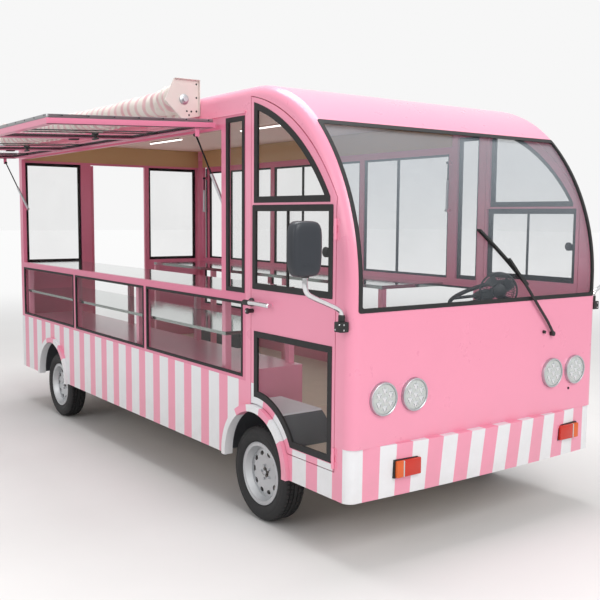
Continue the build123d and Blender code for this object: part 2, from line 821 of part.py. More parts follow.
# Leaf springs over both axles, and the chassis with their hangers
spring_start = tyre_radius + axle_tube_radius
spring_bend = (spring_half_length**2 + spring_sag**2) / (2 * spring_sag)
eye_z = spring_start + leaf_thickness * (len(leaf_shares) - 1 / 2) + spring_sag
springs = []
frame = block(rail_rear_x, rail_front_x, -rail_y - rail_width / 2, rail_width / 2 - rail_y, rail_bottom_z, floor_bottom)
frame += to_left(frame)
for share in cross_shares:
    cross_x = rail_rear_x + share * rail_length
    cross_back = max(cross_x - cross_width / 2, rail_rear_x)
    cross_front = min(cross_back + cross_width, rail_front_x)
    frame += block(cross_back, cross_front, -rail_y, rail_y, rail_bottom_z + outrigger_height, floor_bottom)
for share in outrigger_shares:
    cross_x = rail_rear_x + share * rail_length
    frame += block(
        cross_x - cross_width / 2, cross_x + cross_width / 2, -inner_half, inner_half,
        floor_bottom - outrigger_height, floor_bottom
    )
for axle_x in (0, -wheelbase):
    for side in (-1, 1):
        centre_z = spring_start + spring_bend
        spring = None
        for index, share in enumerate(leaf_shares):
            outer_bend = spring_bend - leaf_thickness * (len(leaf_shares) - 1 - index)
            ring = Circle(outer_bend) - Circle(outer_bend - leaf_thickness)
            reach_x = spring_half_length * share
            ring = Pos(axle_x, centre_z) * ring
            ring = ring & (Pos(axle_x, spring_start) * Rectangle(2 * reach_x, 2 * eye_z))
            leaf = extrude(Plane.XZ.offset(-side * rail_y) * ring, amount=spring_width / 2, both=True)
            spring = leaf if spring is None else spring + leaf
        for end in (-1, 1):
            eye_x = axle_x + end * spring_half_length
            inner_y = side * rail_y - spring_width / 2
            outer_y = side * rail_y + spring_width / 2
            spring += rod((eye_x, inner_y, eye_z), (eye_x, outer_y, eye_z), spring_eye_radius)
            for hanger_y in (inner_y - hanger_thickness - seat_gap, outer_y + seat_gap):
                frame += block(
                    eye_x - spring_eye_radius, eye_x + spring_eye_radius, hanger_y, hanger_y + hanger_thickness,
                    eye_z - spring_eye_radius, rail_bottom_z
                )
        springs.append(spring)
tow_eye_z = rail_bottom_z - tow_eye_drop
tow_eye_xs = (rail_rear_x + tow_eye_size / 2, rail_front_x - tow_eye_size / 2)
tow_eyes = []
for eye_x in tow_eye_xs:
    for side in (-1, 1):
        plate_y = side * rail_y - tow_eye_plate / 2
        plate = block(
            eye_x - tow_eye_size / 2, eye_x + tow_eye_size / 2, plate_y, plate_y + tow_eye_plate,
            tow_eye_z - tow_eye_size / 2, rail_bottom_z
        )
        tow_eyes.append(plate - rod(
            (eye_x, plate_y, tow_eye_z), (eye_x, plate_y + tow_eye_plate, tow_eye_z), tow_eye_radius
        ))
keep("tow_eyes", Compound(tow_eyes))
keep("leaf_springs", Compound(springs))
keep("chassis_frame", frame)
battery_top = rail_bottom_z + outrigger_height
keep("battery_box", block(
    battery_x - battery_length / 2, battery_x + battery_length / 2, -battery_width / 2, battery_width / 2,
    battery_top - battery_height, battery_top
))

# Floor and inner wheel housings
floor_front_x = band_side_x
floor = block(rear_x + wall, floor_front_x, -inner_half, inner_half, floor_bottom, floor_top)
housings = []


def housing_form(centre_x, inset):
    """Round, flat-topped form of a right-hand wheel housing."""
    form = side_prism(arch_disc(centre_x, housing_radius - inset), housing_inner_y + inset, inner_half)
    return form - block(
        centre_x - housing_radius, centre_x + housing_radius, -half, 0,
        housing_top - inset, arch_height + housing_radius
    )


for arch_x in (0, rear_arch_x):
    outer_arch = housing_form(arch_x, 0)
    inner_arch = housing_form(arch_x, housing_thickness)
    lower = block(
        arch_x - housing_radius, arch_x + housing_radius, -inner_half, 0, arch_height - housing_radius, skirt_bottom
    )
    shell = outer_arch - inner_arch - lower
    housings.append(shell)
    housings.append(to_left(shell))
    floor -= outer_arch + to_left(outer_arch)
floor += block(
    side_rear_x, aisle_front_x, aisle_gap + counter_depth - inner_half, left_counter_inner_y - aisle_gap,
    floor_top, floor_top + aisle_sheet
)
keep("floor_deck", floor & inner_form)
keep("wheel_housings", Compound(housings))

# Rear door, standing open on its right-hand post
door_axis_x = rear_x - hinge_radius
door_axis_y = doorway_right_y + panel_gap / 2
door_back = rear_x
door_left_y = doorway_left_y - panel_gap
door_low = floor_top + panel_gap
door_high = rear_window_top - panel_gap
leaf_right_y = doorway_right_y + panel_gap
rear_leaf = block(door_back, door_back + wall, leaf_right_y, door_left_y, door_low, door_high)
rear_leaf_glass = []
for pane_z0, pane_z1 in ((rear_pane_bottom, rear_pane_top), (rear_low_pane_bottom, rear_low_pane_top)):
    hole = (leaf_right_y + rear_pane_margin, door_left_y - rear_pane_margin, pane_z0, pane_z1)
    rear_leaf -= block(door_back, door_back + wall, *hole)
    rear_leaf_glass.append(block(door_back + glass_inset, door_back + glass_inset + glass_thickness, *hole))
rear_axis = Axis((door_axis_x, door_axis_y, 0), (0, 0, 1))
rear_fixed, rear_moving = hinge_set(rear_hinge_zs)
rear_hinge_place = Pos(door_axis_x, door_axis_y, 0) * Rot(0, 0, -90)
rear_leaf += rear_hinge_place * rear_moving
rear_hinge_fixed = rear_hinge_place * rear_fixed
keep("rear_door_frame", rear_leaf.rotate(rear_axis, rear_door_angle))
keep("rear_door_glass", Compound(rear_leaf_glass).rotate(rear_axis, rear_door_angle))

# Serving flaps, drawn closed on the right and hinged along their upper edge
flap_front_x = service_front_x - flap_end_gap
flap_rear_x = side_rear_x + flap_end_gap
flap_high = flap_axis_z - flap_edge_gap
flap_low = flap_axis_z - flap_edge_gap - flap_length
flap_inner = flap_axis_y - flap_thickness / 2
flap_outer = flap_axis_y + flap_thickness / 2
flap = block(flap_rear_x, flap_front_x, -flap_outer, -flap_inner, flap_low, flap_high)
flap_edges = [flap_front_x - flap_frame_width]
for mullion_x in mullion_xs:
    flap_edges.append(mullion_x + flap_frame_width / 2)
    flap_edges.append(mullion_x - flap_frame_width / 2)
flap_edges.append(flap_rear_x + flap_frame_width)
flap_panes = []
flap_glass_inner = flap_inner + glass_inset
for bay in range(0, len(flap_edges), 2):
    hole = (flap_edges[bay + 1], flap_edges[bay])
    hole_z = (flap_low + flap_frame_width, flap_high - flap_frame_width)
    flap -= block(*hole, -flap_outer, -flap_inner, *hole_z)
    flap_panes.append(block(*hole, -flap_glass_inner - glass_thickness, -flap_glass_inner, *hole_z))
strut_xs = (service_front_x - strut_inset, side_rear_x + strut_inset)
eye_y = flap_axis_y - strut_eye_drop
eye_height = flap_axis_z - strut_eye_reach
for strut_x, side in zip(strut_xs, (1, -1)):
    lug_x = strut_x + side * (strut_eye_width / 2 + seat_gap + lug_thickness / 2)
    flap += block(
        lug_x - lug_thickness / 2, lug_x + lug_thickness / 2, -flap_inner, -eye_y + strut_eye_radius,
        eye_height - lug_width / 2, eye_height + lug_width / 2
    )
flap_width = flap_front_x - flap_rear_x
knuckle_half = flap_hinge_length / 2
flap_hinges_fixed = None
for share in flap_hinge_shares:
    hinge_x = flap_rear_x + share * flap_width
    barrel_low = (hinge_x - knuckle_half, -flap_axis_y, flap_axis_z)
    barrel_high = (hinge_x + knuckle_half, -flap_axis_y, flap_axis_z)
    flap += rod(barrel_low, barrel_high, flap_hinge_radius)
    flap += block(
        hinge_x - knuckle_half, hinge_x + knuckle_half, -flap_axis_y - flap_hinge_radius / 2,
        -flap_axis_y + flap_hinge_radius / 2, flap_high, flap_axis_z
    )
    for way in (-1, 1):
        near_x = hinge_x + way * (knuckle_half + seat_gap)
        far_x = near_x + way * knuckle_half
        fixed = rod((near_x, -flap_axis_y, flap_axis_z), (far_x, -flap_axis_y, flap_axis_z), flap_hinge_radius)
        fixed += block(
            near_x, far_x, -flap_axis_y, -half, flap_axis_z - flap_hinge_radius / 2,
            flap_axis_z + flap_hinge_radius / 2
        )
        flap_hinges_fixed = fixed if flap_hinges_fixed is None else flap_hinges_fixed + fixed
right_hinge = Axis((0, -flap_axis_y, flap_axis_z), (1, 0, 0))
flap_glass = Compound(flap_panes)
keep("flap_frame_right", flap.rotate(right_hinge, -flap_open_angle))
keep("flap_glass_right", flap_glass.rotate(right_hinge, -flap_open_angle))
keep("flap_frame_left", to_left(flap))
keep("flap_glass_left", to_left(flap_glass))

# Gas struts: the tube pivots on the pillar and the rod slides in it
closed_run = eye_y - strut_foot_y
closed_rise = eye_height - strut_foot_z
strut_closed = math.hypot(closed_run, closed_rise)
strut_closed_lean = math.degrees(math.atan2(closed_run, closed_rise))
open_turn = math.radians(flap_open_angle)
open_eye_y = flap_axis_y + strut_eye_reach * math.sin(open_turn) - strut_eye_drop * math.cos(open_turn)
open_eye_z = flap_axis_z - strut_eye_reach * math.cos(open_turn) - strut_eye_drop * math.sin(open_turn)
open_run = open_eye_y - strut_foot_y
open_rise = open_eye_z - strut_foot_z
strut_open = math.hypot(open_run, open_rise)
strut_open_lean = math.degrees(math.atan2(open_run, open_rise))


def strut_tubes(lean):
    """Both tubes of one flap, upright at their feet and leaning out by an angle."""
    tubes = []
    for strut_x in strut_xs:
        eye = rod(
            (strut_x - strut_eye_width / 2, -strut_foot_y, strut_foot_z),
            (strut_x + strut_eye_width / 2, -strut_foot_y, strut_foot_z), strut_eye_radius
        )
        tube = rod(
            (strut_x, -strut_foot_y, strut_foot_z), (strut_x, -strut_foot_y, strut_foot_z + strut_tube_length),
            strut_tube_radius
        )
        bore_start = strut_foot_z + strut_eye_radius * 2
        bore = rod(
            (strut_x, -strut_foot_y, bore_start), (strut_x, -strut_foot_y, strut_foot_z + strut_tube_length),
            strut_rod_radius + seat_gap
        )
        tubes.append(eye + tube - bore)
    return Compound(tubes).rotate(Axis((0, -strut_foot_y, strut_foot_z), (1, 0, 0)), lean)


def strut_rods(lean, length):
    """Both rods of one flap, for one lean and one length between the eyes."""
    rods = []
    rod_length = strut_closed - strut_eye_radius * 2 - running_gap
    for strut_x in strut_xs:
        top = strut_foot_z + length
        eye = rod(
            (strut_x - strut_eye_width / 2, -strut_foot_y, top), (strut_x + strut_eye_width / 2, -strut_foot_y, top),
            strut_eye_radius
        )
        shank = rod((strut_x, -strut_foot_y, top - rod_length), (strut_x, -strut_foot_y, top), strut_rod_radius)
        rods.append(eye + shank)
    return Compound(rods).rotate(Axis((0, -strut_foot_y, strut_foot_z), (1, 0, 0)), lean)


keep("strut_tubes_right", strut_tubes(strut_open_lean))
keep("strut_rods_right", strut_rods(strut_open_lean, strut_open))
keep("strut_tubes_left", to_left(strut_tubes(strut_closed_lean)))
keep("strut_rods_left", to_left(strut_rods(strut_closed_lean, strut_closed)))
foot_lugs = []
for strut_x, side in zip(strut_xs, (1, -1)):
    plate_near = strut_x + side * (strut_eye_width / 2 + seat_gap)
    plate_far = strut_x + side * strut_inset
    foot_lugs.append(block(
        plate_near, plate_far, -strut_foot_y - strut_eye_radius, -strut_foot_y + strut_eye_radius,
        strut_foot_z - strut_eye_radius, strut_foot_z + strut_eye_radius
    ))
side_frame += foot_lugs[0]
side_frame += flap_hinges_fixed
rear_frame += foot_lugs[1] + to_left(foot_lugs[1])
rear_frame += rear_hinge_fixed & block(rear_x - edge_round, rear_x, -half, half, side_band_top, fascia_bottom)
keep("side_frame_right", side_frame)
keep("side_frame_left", to_left(side_frame))
keep("rear_frame", rear_frame)

# Counters
counter_inner = inner_half - counter_depth
counter_top = rail_top
counter_low = counter_top - counter_top_thickness
counter = block(counter_rear_x, counter_front_x, -inner_half, -counter_inner, counter_low, counter_top)
counter += block(
    counter_rear_x, base_front_x, -inner_half, -counter_inner, display_floor_height - shelf_thickness,
    display_floor_height
)
base_front = block(
    base_front_x - shelf_thickness, base_front_x, -inner_half, -counter_inner, floor_top, display_floor_height
)
base_front += block(
    counter_front_x, base_front_x, -counter_inner - shelf_thickness, -counter_inner, floor_top, display_floor_height
)
counter += base_front - housing_form(0, -running_gap / 2)
counter += block(
    counter_rear_x, counter_front_x, -inner_half, -counter_inner, shelf_height - shelf_thickness, shelf_height
)
counter_run = counter_front_x - counter_rear_x - counter_leg
for share in leg_shares:
    leg_x = counter_rear_x + share * counter_run
    counter += block(
        leg_x, leg_x + counter_leg, -counter_inner - counter_leg, -counter_inner, floor_top, counter_low
    )
    in_wheel_housing = abs(leg_x - rear_arch_x) < housing_radius + counter_leg
    leg_foot = housing_top if in_wheel_housing else floor_top
    counter += block(leg_x, leg_x + counter_leg, -inner_half, counter_leg - inner_half, leg_foot, counter_low)
left_run = left_counter_front_x - counter_rear_x - counter_leg
left_low = left_counter_top - counter_top_thickness
left_counter = block(
    counter_rear_x, left_counter_front_x, left_counter_inner_y, inner_half, left_low, left_counter_top
)
for share in leg_shares:
    leg_x = counter_rear_x + share * left_run
    left_counter += block(
        leg_x, leg_x + counter_leg, left_counter_inner_y, left_counter_inner_y + counter_leg, floor_top, left_low
    )
keep("counters", Compound([counter, left_counter]))

# Dashboard, steering wheel and seat
dash_x1 = nose_x - wall
dash_x0 = dash_x1 - dash_depth
dash_face = make_face(Polyline(
    (dash_x0, dash_bottom), (dash_x1, dash_bottom), (dash_x1, dash_top), (dash_x0 + dash_nose, dash_top),
    (dash_x0, dash_top - dash_nose), close=True
))
keep("dashboard", extrude(Plane.XZ * dash_face, amount=dash_half_width, both=True))
tilt = math.radians(wheel_tilt)
column_length = (wheel_z - floor_bottom) / math.sin(tilt)
column_end = (wheel_x + column_length * math.cos(tilt), wheel_y, floor_bottom)
wheel_plane = Pos(wheel_x, wheel_y, wheel_z) * Rot(0, wheel_tilt - 90, 0)
rim_section = Pos(steering_wheel_radius, 0) * RegularPolygon(steering_rim_radius, grip_sides)
steering = wheel_plane * revolve(Plane.XZ * rim_section, axis=Axis.Z)
steering += wheel_plane * Cylinder(column_radius * 2, steering_rim_radius * 2)
for spoke in (0, 120, 240):
    arm = Rot(0, 0, spoke) * Pos(steering_wheel_radius / 2, 0, 0)
    steering += wheel_plane * arm * Box(steering_wheel_radius, column_radius, steering_rim_radius)
steering += rod((wheel_x, wheel_y, wheel_z), column_end, column_radius)
steering -= block(0, nose_x, 0, half, 0, floor_top)
keep("steering_wheel", steering)
seat_left = seat_y + seat_width / 2
seat_right = seat_y - seat_width / 2
seat_back = seat_x - seat_depth / 2
seat_front = seat_x + seat_depth / 2
base_top = floor_top + seat_base_height
keep("seat_base", block(seat_back, seat_front, seat_right, seat_left, floor_top, base_top))
cushion_top = base_top + seat_cushion_height
cushion = block(seat_back, seat_front, seat_right, seat_left, base_top, cushion_top)
cushion += block(
    seat_back, seat_back + backrest_thickness, seat_right, seat_left, cushion_top, cushion_top + backrest_height
)
keep("seat_cushion", fillet(cushion.edges().filter_by(Axis.Y), seat_round))

# Mirrors, wiper, ceiling lamps and awning
mirror_head = Plane.YZ * RectangleRounded(mirror_width, mirror_height, mirror_round)
mirror_head = extrude(mirror_head, amount=mirror_depth / 2, both=True)
mirror_head = fillet(mirror_head.faces().sort_by(Axis.X)[-1].edges(), mirror_edge)
mirror_z = mirror_bottom + mirror_height / 2
arm_z = mirror_bottom - mirror_arm_drop
foot_y = half + mirror_foot_size / 2
mirror_arm = Pos(mirror_x, -mirror_y, mirror_z) * mirror_head
mirror_arm += block(
    mirror_x - mirror_foot_size / 2, mirror_x + mirror_foot_size / 2, -half - mirror_foot_size, -half,
    mirror_foot_z - mirror_foot_size / 2, mirror_foot_z + mirror_foot_size / 2
)
elbow = (mirror_x, -foot_y, arm_z - mirror_elbow_drop)
knee = (mirror_x, -mirror_y, arm_z)
mirror_arm += rod((mirror_x, -foot_y, mirror_foot_z), elbow, mirror_arm_radius)
mirror_arm += rod(elbow, knee, mirror_arm_radius)
mirror_arm += rod(knee, (mirror_x, -mirror_y, mirror_bottom + mirror_round), mirror_arm_radius)
for bend in (elbow, knee):
    mirror_arm += Pos(*bend) * Sphere(mirror_arm_radius)
keep("mirrors", Compound([mirror_arm, to_left(mirror_arm)]))


def on_nose(points, width, low, high):
    """Strip of a width along Y, Z points, lying on the nose between two heights above its surface."""
    strip = None
    for start, end in zip(points, points[1:]):
        length = math.hypot(end[0] - start[0], end[1] - start[1])
        turn = math.degrees(math.atan2(end[1] - start[1], end[0] - start[0]))
        middle = Pos((start[0] + end[0]) / 2, (start[1] + end[1]) / 2) * Rot(0, 0, turn)
        face = middle * SlotCenterToCenter(length, width)
        strip = face if strip is None else strip + face
    prism = Pos(crown_x + crown_run, 0, 0) * extrude(Plane.YZ * strip, amount=nose_x)
    return (body_form(-high, skirt_bottom) - body_form(-low, skirt_bottom)) & prism


wiper = rod(
    (nose_x, *wiper_pivot), (nose_x + wiper_arm_rise + wiper_arm_thickness, *wiper_pivot), wiper_pivot_radius
)
wiper_arm_top = wiper_arm_rise + wiper_arm_thickness
wiper += rod((nose_x, *wiper_nut), (nose_x + wiper_arm_rise, *wiper_nut), wiper_nut_radius)
wiper += on_nose((wiper_pivot, wiper_knee, wiper_clip), wiper_arm_width, wiper_arm_rise, wiper_arm_top)
wiper += on_nose((wiper_blade_low, wiper_blade_high), wiper_blade_width, -glass_inset, wiper_arm_rise)
keep("wiper", wiper)
lamps = []
for lamp_x in lamp_xs:
    lamps.append(rod(
        (lamp_x - lamp_tube_length / 2, 0, ceiling_bottom - lamp_tube_radius),
        (lamp_x + lamp_tube_length / 2, 0, ceiling_bottom - lamp_tube_radius), lamp_tube_radius
    ))
keep("ceiling_lamps", Compound(lamps))
awning_plates = []
plate_outline = Polyline(
    (half, roof_height - awning_plate_foot_drop), (half, roof_height + awning_plate_rise),
    (half + awning_plate_crown_reach, roof_height + awning_plate_rise),
    (half + awning_plate_nose_reach, roof_height - awning_plate_nose_drop),
    (half + awning_plate_chin_reach, roof_height - awning_plate_chin_drop), close=True
)
plate_face = Plane((0, 0, 0), x_dir=(0, -1, 0), z_dir=(-1, 0, 0)) * make_face(plate_outline)
for end_x in (awning_front_x, awning_rear_x - awning_plate):
    awning_plates.append(Pos(end_x + awning_plate, 0, 0) * extrude(plate_face, amount=awning_plate))
core = rod((awning_rear_x, -awning_y, awning_z), (awning_front_x, -awning_y, awning_z), awning_core_radius)
awning = core
for plate in awning_plates:
    awning += plate
keep("awning_frame", awning)
roll = rod((awning_rear_x, -awning_y, awning_z), (awning_front_x, -awning_y, awning_z), awning_radius)
hole = rod((awning_rear_x, -awning_y, awning_z), (awning_front_x, -awning_y, awning_z), awning_core_radius + seat_gap)
keep("awning_roll", roll - hole)

# Write each piece with the origin at the bottom centre of the whole
everything = Compound([piece for piece in pieces.values()])
bounds = everything.bounding_box()
origin_x = (bounds.min.X + bounds.max.X) / 2
origin_y = (bounds.min.Y + bounds.max.Y) / 2
os.makedirs("parts", exist_ok=True)
for name, piece in pieces.items():
    export_step(Pos(-origin_x, -origin_y, 0) * piece, "parts/" + name + ".step")
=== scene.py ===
import json
from math import copysign, cos, hypot, pi, radians, sin

import bmesh
import bpy
from mathutils import Matrix, Vector

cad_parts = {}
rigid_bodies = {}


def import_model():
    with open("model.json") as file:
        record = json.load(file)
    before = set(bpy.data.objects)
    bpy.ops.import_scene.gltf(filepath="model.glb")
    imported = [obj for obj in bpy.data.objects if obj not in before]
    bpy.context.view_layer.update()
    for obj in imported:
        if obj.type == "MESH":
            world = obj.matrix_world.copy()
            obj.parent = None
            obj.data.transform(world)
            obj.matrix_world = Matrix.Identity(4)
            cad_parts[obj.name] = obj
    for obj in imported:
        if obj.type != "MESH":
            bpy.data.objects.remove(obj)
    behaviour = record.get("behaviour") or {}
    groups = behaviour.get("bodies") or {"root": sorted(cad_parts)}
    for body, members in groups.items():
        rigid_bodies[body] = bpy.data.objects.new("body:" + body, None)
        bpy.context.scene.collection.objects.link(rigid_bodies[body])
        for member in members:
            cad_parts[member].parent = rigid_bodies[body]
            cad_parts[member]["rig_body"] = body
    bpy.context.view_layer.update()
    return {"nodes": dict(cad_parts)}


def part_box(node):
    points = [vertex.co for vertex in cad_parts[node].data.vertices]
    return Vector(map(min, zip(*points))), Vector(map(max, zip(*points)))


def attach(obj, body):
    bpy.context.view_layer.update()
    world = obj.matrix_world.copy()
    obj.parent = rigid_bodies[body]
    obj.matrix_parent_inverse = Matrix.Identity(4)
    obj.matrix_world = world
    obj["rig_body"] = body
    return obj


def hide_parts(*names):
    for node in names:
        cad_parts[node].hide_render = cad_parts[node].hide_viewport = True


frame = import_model()
nodes = frame["nodes"]

# Every place below is in the cart's own coordinates, in metres:
# X forward from the front axle, Y to the left of the centreline, Z up from the ground.
right_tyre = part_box("tyre_front_right")
left_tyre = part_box("tyre_front_left")
AXLE_X = (right_tyre[0].x + right_tyre[1].x) / 2
CENTRE_Y = (right_tyre[0].y + left_tyre[1].y) / 2


def P(x, y, z):
    """A point of the cart in the frame that everything is built in."""
    return Vector((AXLE_X + x, CENTRE_Y + y, z))


FLAP_BODIES = (nodes["flap_frame_right"]["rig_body"], nodes["flap_frame_left"]["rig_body"])
DOOR_BODIES = (nodes["door_panel_right"]["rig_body"], nodes["door_panel_left"]["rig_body"])

# Sizes shared with the solids
HALF = 0.965
REAR_X = -4.035
NOSE_X = 0.878
WHEELBASE = 3.180

# Directions of the cart
AHEAD = (1, 0, 0)
LEFT = (0, 1, 0)
UP = (0, 0, 1)


# Camera: the photograph's viewpoint, for a square frame of 600 pixels
def make_camera():
    frame_pixels = 600.0
    focal_pixels = 860.6
    sensor = 36.0
    yaw = radians(144.069)
    pitch = radians(-5.7153)
    roll = radians(0.4172)
    centre_drop_pixels = 2.5
    place = P(4.0465, -3.5692, 1.7504)
    forward = Vector((cos(yaw) * cos(pitch), sin(yaw) * cos(pitch), sin(pitch)))
    right = forward.cross(Vector((0, 0, 1))).normalized()
    up = right.cross(forward)
    right_rolled = right * cos(roll) + up * sin(roll)
    up_rolled = up * cos(roll) - right * sin(roll)
    data = bpy.data.cameras.new("camera")
    data.sensor_width = sensor
    data.lens = focal_pixels * sensor / frame_pixels
    data.shift_y = centre_drop_pixels / frame_pixels
    data.clip_end = 200
    camera = bpy.data.objects.new("camera", data)
    axes = Matrix((right_rolled, up_rolled, -forward)).transposed()
    camera.matrix_world = Matrix.Translation(place) @ axes.to_4x4()
    bpy.context.scene.collection.objects.link(camera)
    bpy.context.scene.camera = camera


make_camera()


# Colours are written as 8-bit display values
def srgb(red, green, blue):
    def linear(value):
        share = value / 255
        return share / 12.92 if share <= 0.04045 else ((share + 0.055) / 1.055) ** 2.4

    return (linear(red), linear(green), linear(blue), 1.0)


PINK = srgb(244, 154, 181)
# The frames' deeper pink is the body's pink painted darker, as shade.
PINK_IN_SHADE = srgb(232, 130, 162)
WHITE = srgb(236, 237, 240)
BLACK = srgb(24, 24, 25)


class Nodes:
    """Short ways to build one material's node tree."""

    def __init__(self, name):
        self.material = bpy.data.materials.new(name)
        self.material.use_nodes = True
        self.tree = self.material.node_tree
        self.shader = self.tree.nodes["Principled BSDF"]

    def add(self, kind, **settings):
        node = self.tree.nodes.new(kind)
        for key, value in settings.items():
            setattr(node, key, value)
        return node

    def join(self, output, target):
        self.tree.links.new(output, target)

    def math(self, operation, first, second=None):
        node = self.add("ShaderNodeMath", operation=operation)
        for index, value in enumerate((first, second)):
            if value is None:
                continue
            if isinstance(value, (int, float)):
                node.inputs[index].default_value = value
            else:
                self.join(value, node.inputs[index])
        return node.outputs[0]

    def more(self, value, limit):
        return self.math("GREATER_THAN", value, limit)

    def less(self, value, limit):
        return self.math("LESS_THAN", value, limit)

    def times(self, first, second):
        return self.math("MULTIPLY", first, second)

    def place(self):
        return self.add("ShaderNodeTexCoord").outputs["Object"]

    def noise(self, scale, detail=4.0, roughness=0.55):
        node = self.add("ShaderNodeTexNoise")
        node.inputs["Scale"].default_value = scale
        node.inputs["Detail"].default_value = detail
        node.inputs["Roughness"].default_value = roughness
        self.join(self.place(), node.inputs["Vector"])
        return node.outputs["Fac"]

    def ramp(self, value, start, end, low=0.0, high=1.0, smooth=False):
        """Map start..end onto low..high, and hold the ends beyond it."""
        node = self.add("ShaderNodeMapRange", interpolation_type="SMOOTHSTEP" if smooth else "LINEAR")
        for name, number in (("From Min", start), ("From Max", end), ("To Min", low), ("To Max", high)):
            node.inputs[name].default_value = number
        self.join(value, node.inputs["Value"])
        return node.outputs["Result"]

    def spread(self, value, low, high):
        """Map 0..1 onto a range."""
        return self.ramp(value, 0.0, 1.0, low, high)

    def mix(self, factor, first, second):
        node = self.add("ShaderNodeMix", data_type="RGBA")
        self.join(factor, node.inputs["Factor"])
        sockets = [s for s in node.inputs if s.type == "RGBA"]
        for value, socket in zip((first, second), sockets):
            if isinstance(value, (tuple, list)):
                socket.default_value = value
            else:
                self.join(value, socket)
        return [s for s in node.outputs if s.type == "RGBA"][0]

    def bump(self, height, strength, distance):
        node = self.add("ShaderNodeBump")
        node.inputs["Strength"].default_value = strength
        node.inputs["Distance"].default_value = distance
        self.join(height, node.inputs["Height"])
        self.join(node.outputs["Normal"], self.shader.inputs["Normal"])

    def set(self, **values):
        names = {
            "rough": "Roughness", "metal": "Metallic", "coat": "Coat Weight", "coat_rough": "Coat Roughness",
            "base": "Base Color", "sheen": "Sheen Weight", "alpha": "Alpha", "glow": "Emission Strength",
            "glow_colour": "Emission Color", "clear": "Transmission Weight", "ior": "IOR",
            "specular": "Specular IOR Level",
        }
        for key, value in values.items():
            socket = self.shader.inputs[names[key]]
            if isinstance(value, bpy.types.NodeSocket):
                self.join(value, socket)
            else:
                socket.default_value = value


def varied(n, colour, amount, scale):
    """A colour that drifts a little lighter and darker over the surface."""
    darker = tuple(c * (1 - amount) for c in colour[:3]) + (1.0,)
    lighter = tuple(min(1.0, c * (1 + amount)) for c in colour[:3]) + (1.0,)
    return n.mix(n.noise(scale), darker, lighter)


def axis_of(n, axis):
    split = n.add("ShaderNodeSeparateXYZ")
    n.join(n.place(), split.inputs[0])
    return split.outputs[axis]


def dusted(n, colour):
    """Road dust in patches that thin out above the skirt."""
    dust_low, dust_high, most = 0.30, 0.78, 0.42
    fade = n.ramp(axis_of(n, "Z"), dust_low, dust_high, most, 0.0)
    patchy = n.math("POWER", n.noise(6.0, 6.0, 0.7), 1.6)
    return n.mix(n.times(fade, patchy), colour, srgb(158, 144, 130))


def paint(name, colour, rough=0.28):
    """Sprayed gloss paint with a trace of orange peel."""
    n = Nodes(name)
    n.set(base=dusted(n, varied(n, colour, 0.03, 1.7)), coat=0.35, coat_rough=0.12)
    n.set(rough=n.spread(n.noise(9.0), rough - 0.04, rough + 0.06))
    n.bump(n.noise(260.0, 2.0), 0.05, 0.0006)
    return n.material


def rubber(name, colour=BLACK, rough=0.62):
    n = Nodes(name)
    n.set(base=varied(n, colour, 0.18, 14.0), rough=n.spread(n.noise(30.0), rough - 0.08, rough + 0.1))
    n.bump(n.noise(420.0, 3.0), 0.18, 0.0008)
    return n.material


def metal(name, colour, rough, grain=120.0, strength=0.08):
    n = Nodes(name)
    n.set(base=varied(n, colour, 0.05, 6.0), metal=1.0)
    n.set(rough=n.spread(n.noise(grain), rough - 0.04, rough + 0.08))
    n.bump(n.noise(grain * 3, 2.0), strength, 0.0005)
    return n.material


def plastic(name, colour, rough=0.45):
    n = Nodes(name)
    n.set(base=varied(n, colour, 0.08, 8.0), rough=n.spread(n.noise(60.0), rough - 0.06, rough + 0.08))
    n.bump(n.noise(700.0, 2.0), 0.12, 0.0006)
    return n.material


def window_glass(name, tint, low_alpha, high_alpha=None):
    """Clear sheet glass with a coated gloss and faint dust, which may carry a painted sky reflection that
    clouds it paler towards its top.
    """
    n = Nodes(name)
    n.set(base=varied(n, tint, 0.10, 3.0), coat=1.0, coat_rough=0.02)
    n.set(rough=n.spread(n.noise(5.0), 0.02, 0.07))
    dust_and_sky_reflection = n.spread(n.noise(2.2), low_alpha - 0.02, low_alpha + 0.04)
    if high_alpha:
        # Painted sky reflection: the glass grows less clear towards its top and shows more of its pale tint.
        reflection_low, reflection_high = 1.25, 2.20
        band = n.ramp(axis_of(n, "Z"), reflection_low, reflection_high, 0.0, high_alpha - low_alpha, smooth=True)
        dust_and_sky_reflection = n.math("ADD", dust_and_sky_reflection, band)
    n.set(specular=0.7, alpha=dust_and_sky_reflection)
    n.material.surface_render_method = "DITHERED"
    return n.material


def between(n, axis, low, high):
    """1 where the place along an axis lies between two values."""
    value = axis_of(n, axis)
    above = n.more(value, low)
    below = n.less(value, high)
    return n.times(above, below)


def side_reach(n):
    """Distance from the centreline."""
    return n.math("ABSOLUTE", n.math("SUBTRACT", axis_of(n, "Y"), CENTRE_Y))


def stripe_mask(n, axis, start, pitch, duty):
    run = n.math("SUBTRACT", axis_of(n, axis), start)
    return n.more(n.math("FRACT", n.math("DIVIDE", run, pitch)), duty)


# Stripes: axis, where they start, pitch, and the pink share of it
CORNER_Y = 0.877
SIDE_STRIPES = ("X", AXLE_X - 1.256, 0.2215, 0.44)
BAND_STRIPES = ("Y", CENTRE_Y - CORNER_Y, 0.206, 0.5)

# Wheel arches: centres, and the pink parts of their stripes in degrees
ARCH_Z = 0.355
ARCH_XS = (0.030, -WHEELBASE)
FRONT_FAN = ((-90, 34), (58.5, 77.5), (101, 124))
REAR_FAN = ((35, 60), (80, 110))


def arch_reach(n, centre_x):
    """Distance from a wheel arch's centre, and the angle round it in turns from straight ahead."""
    ahead = n.math("SUBTRACT", axis_of(n, "X"), AXLE_X + centre_x)
    up = n.math("SUBTRACT", axis_of(n, "Z"), ARCH_Z)
    reach = n.math("SQRT", n.math("ADD", n.times(ahead, ahead), n.times(up, up)))
    return reach, n.math("DIVIDE", n.math("ARCTAN2", up, ahead), 2 * pi)


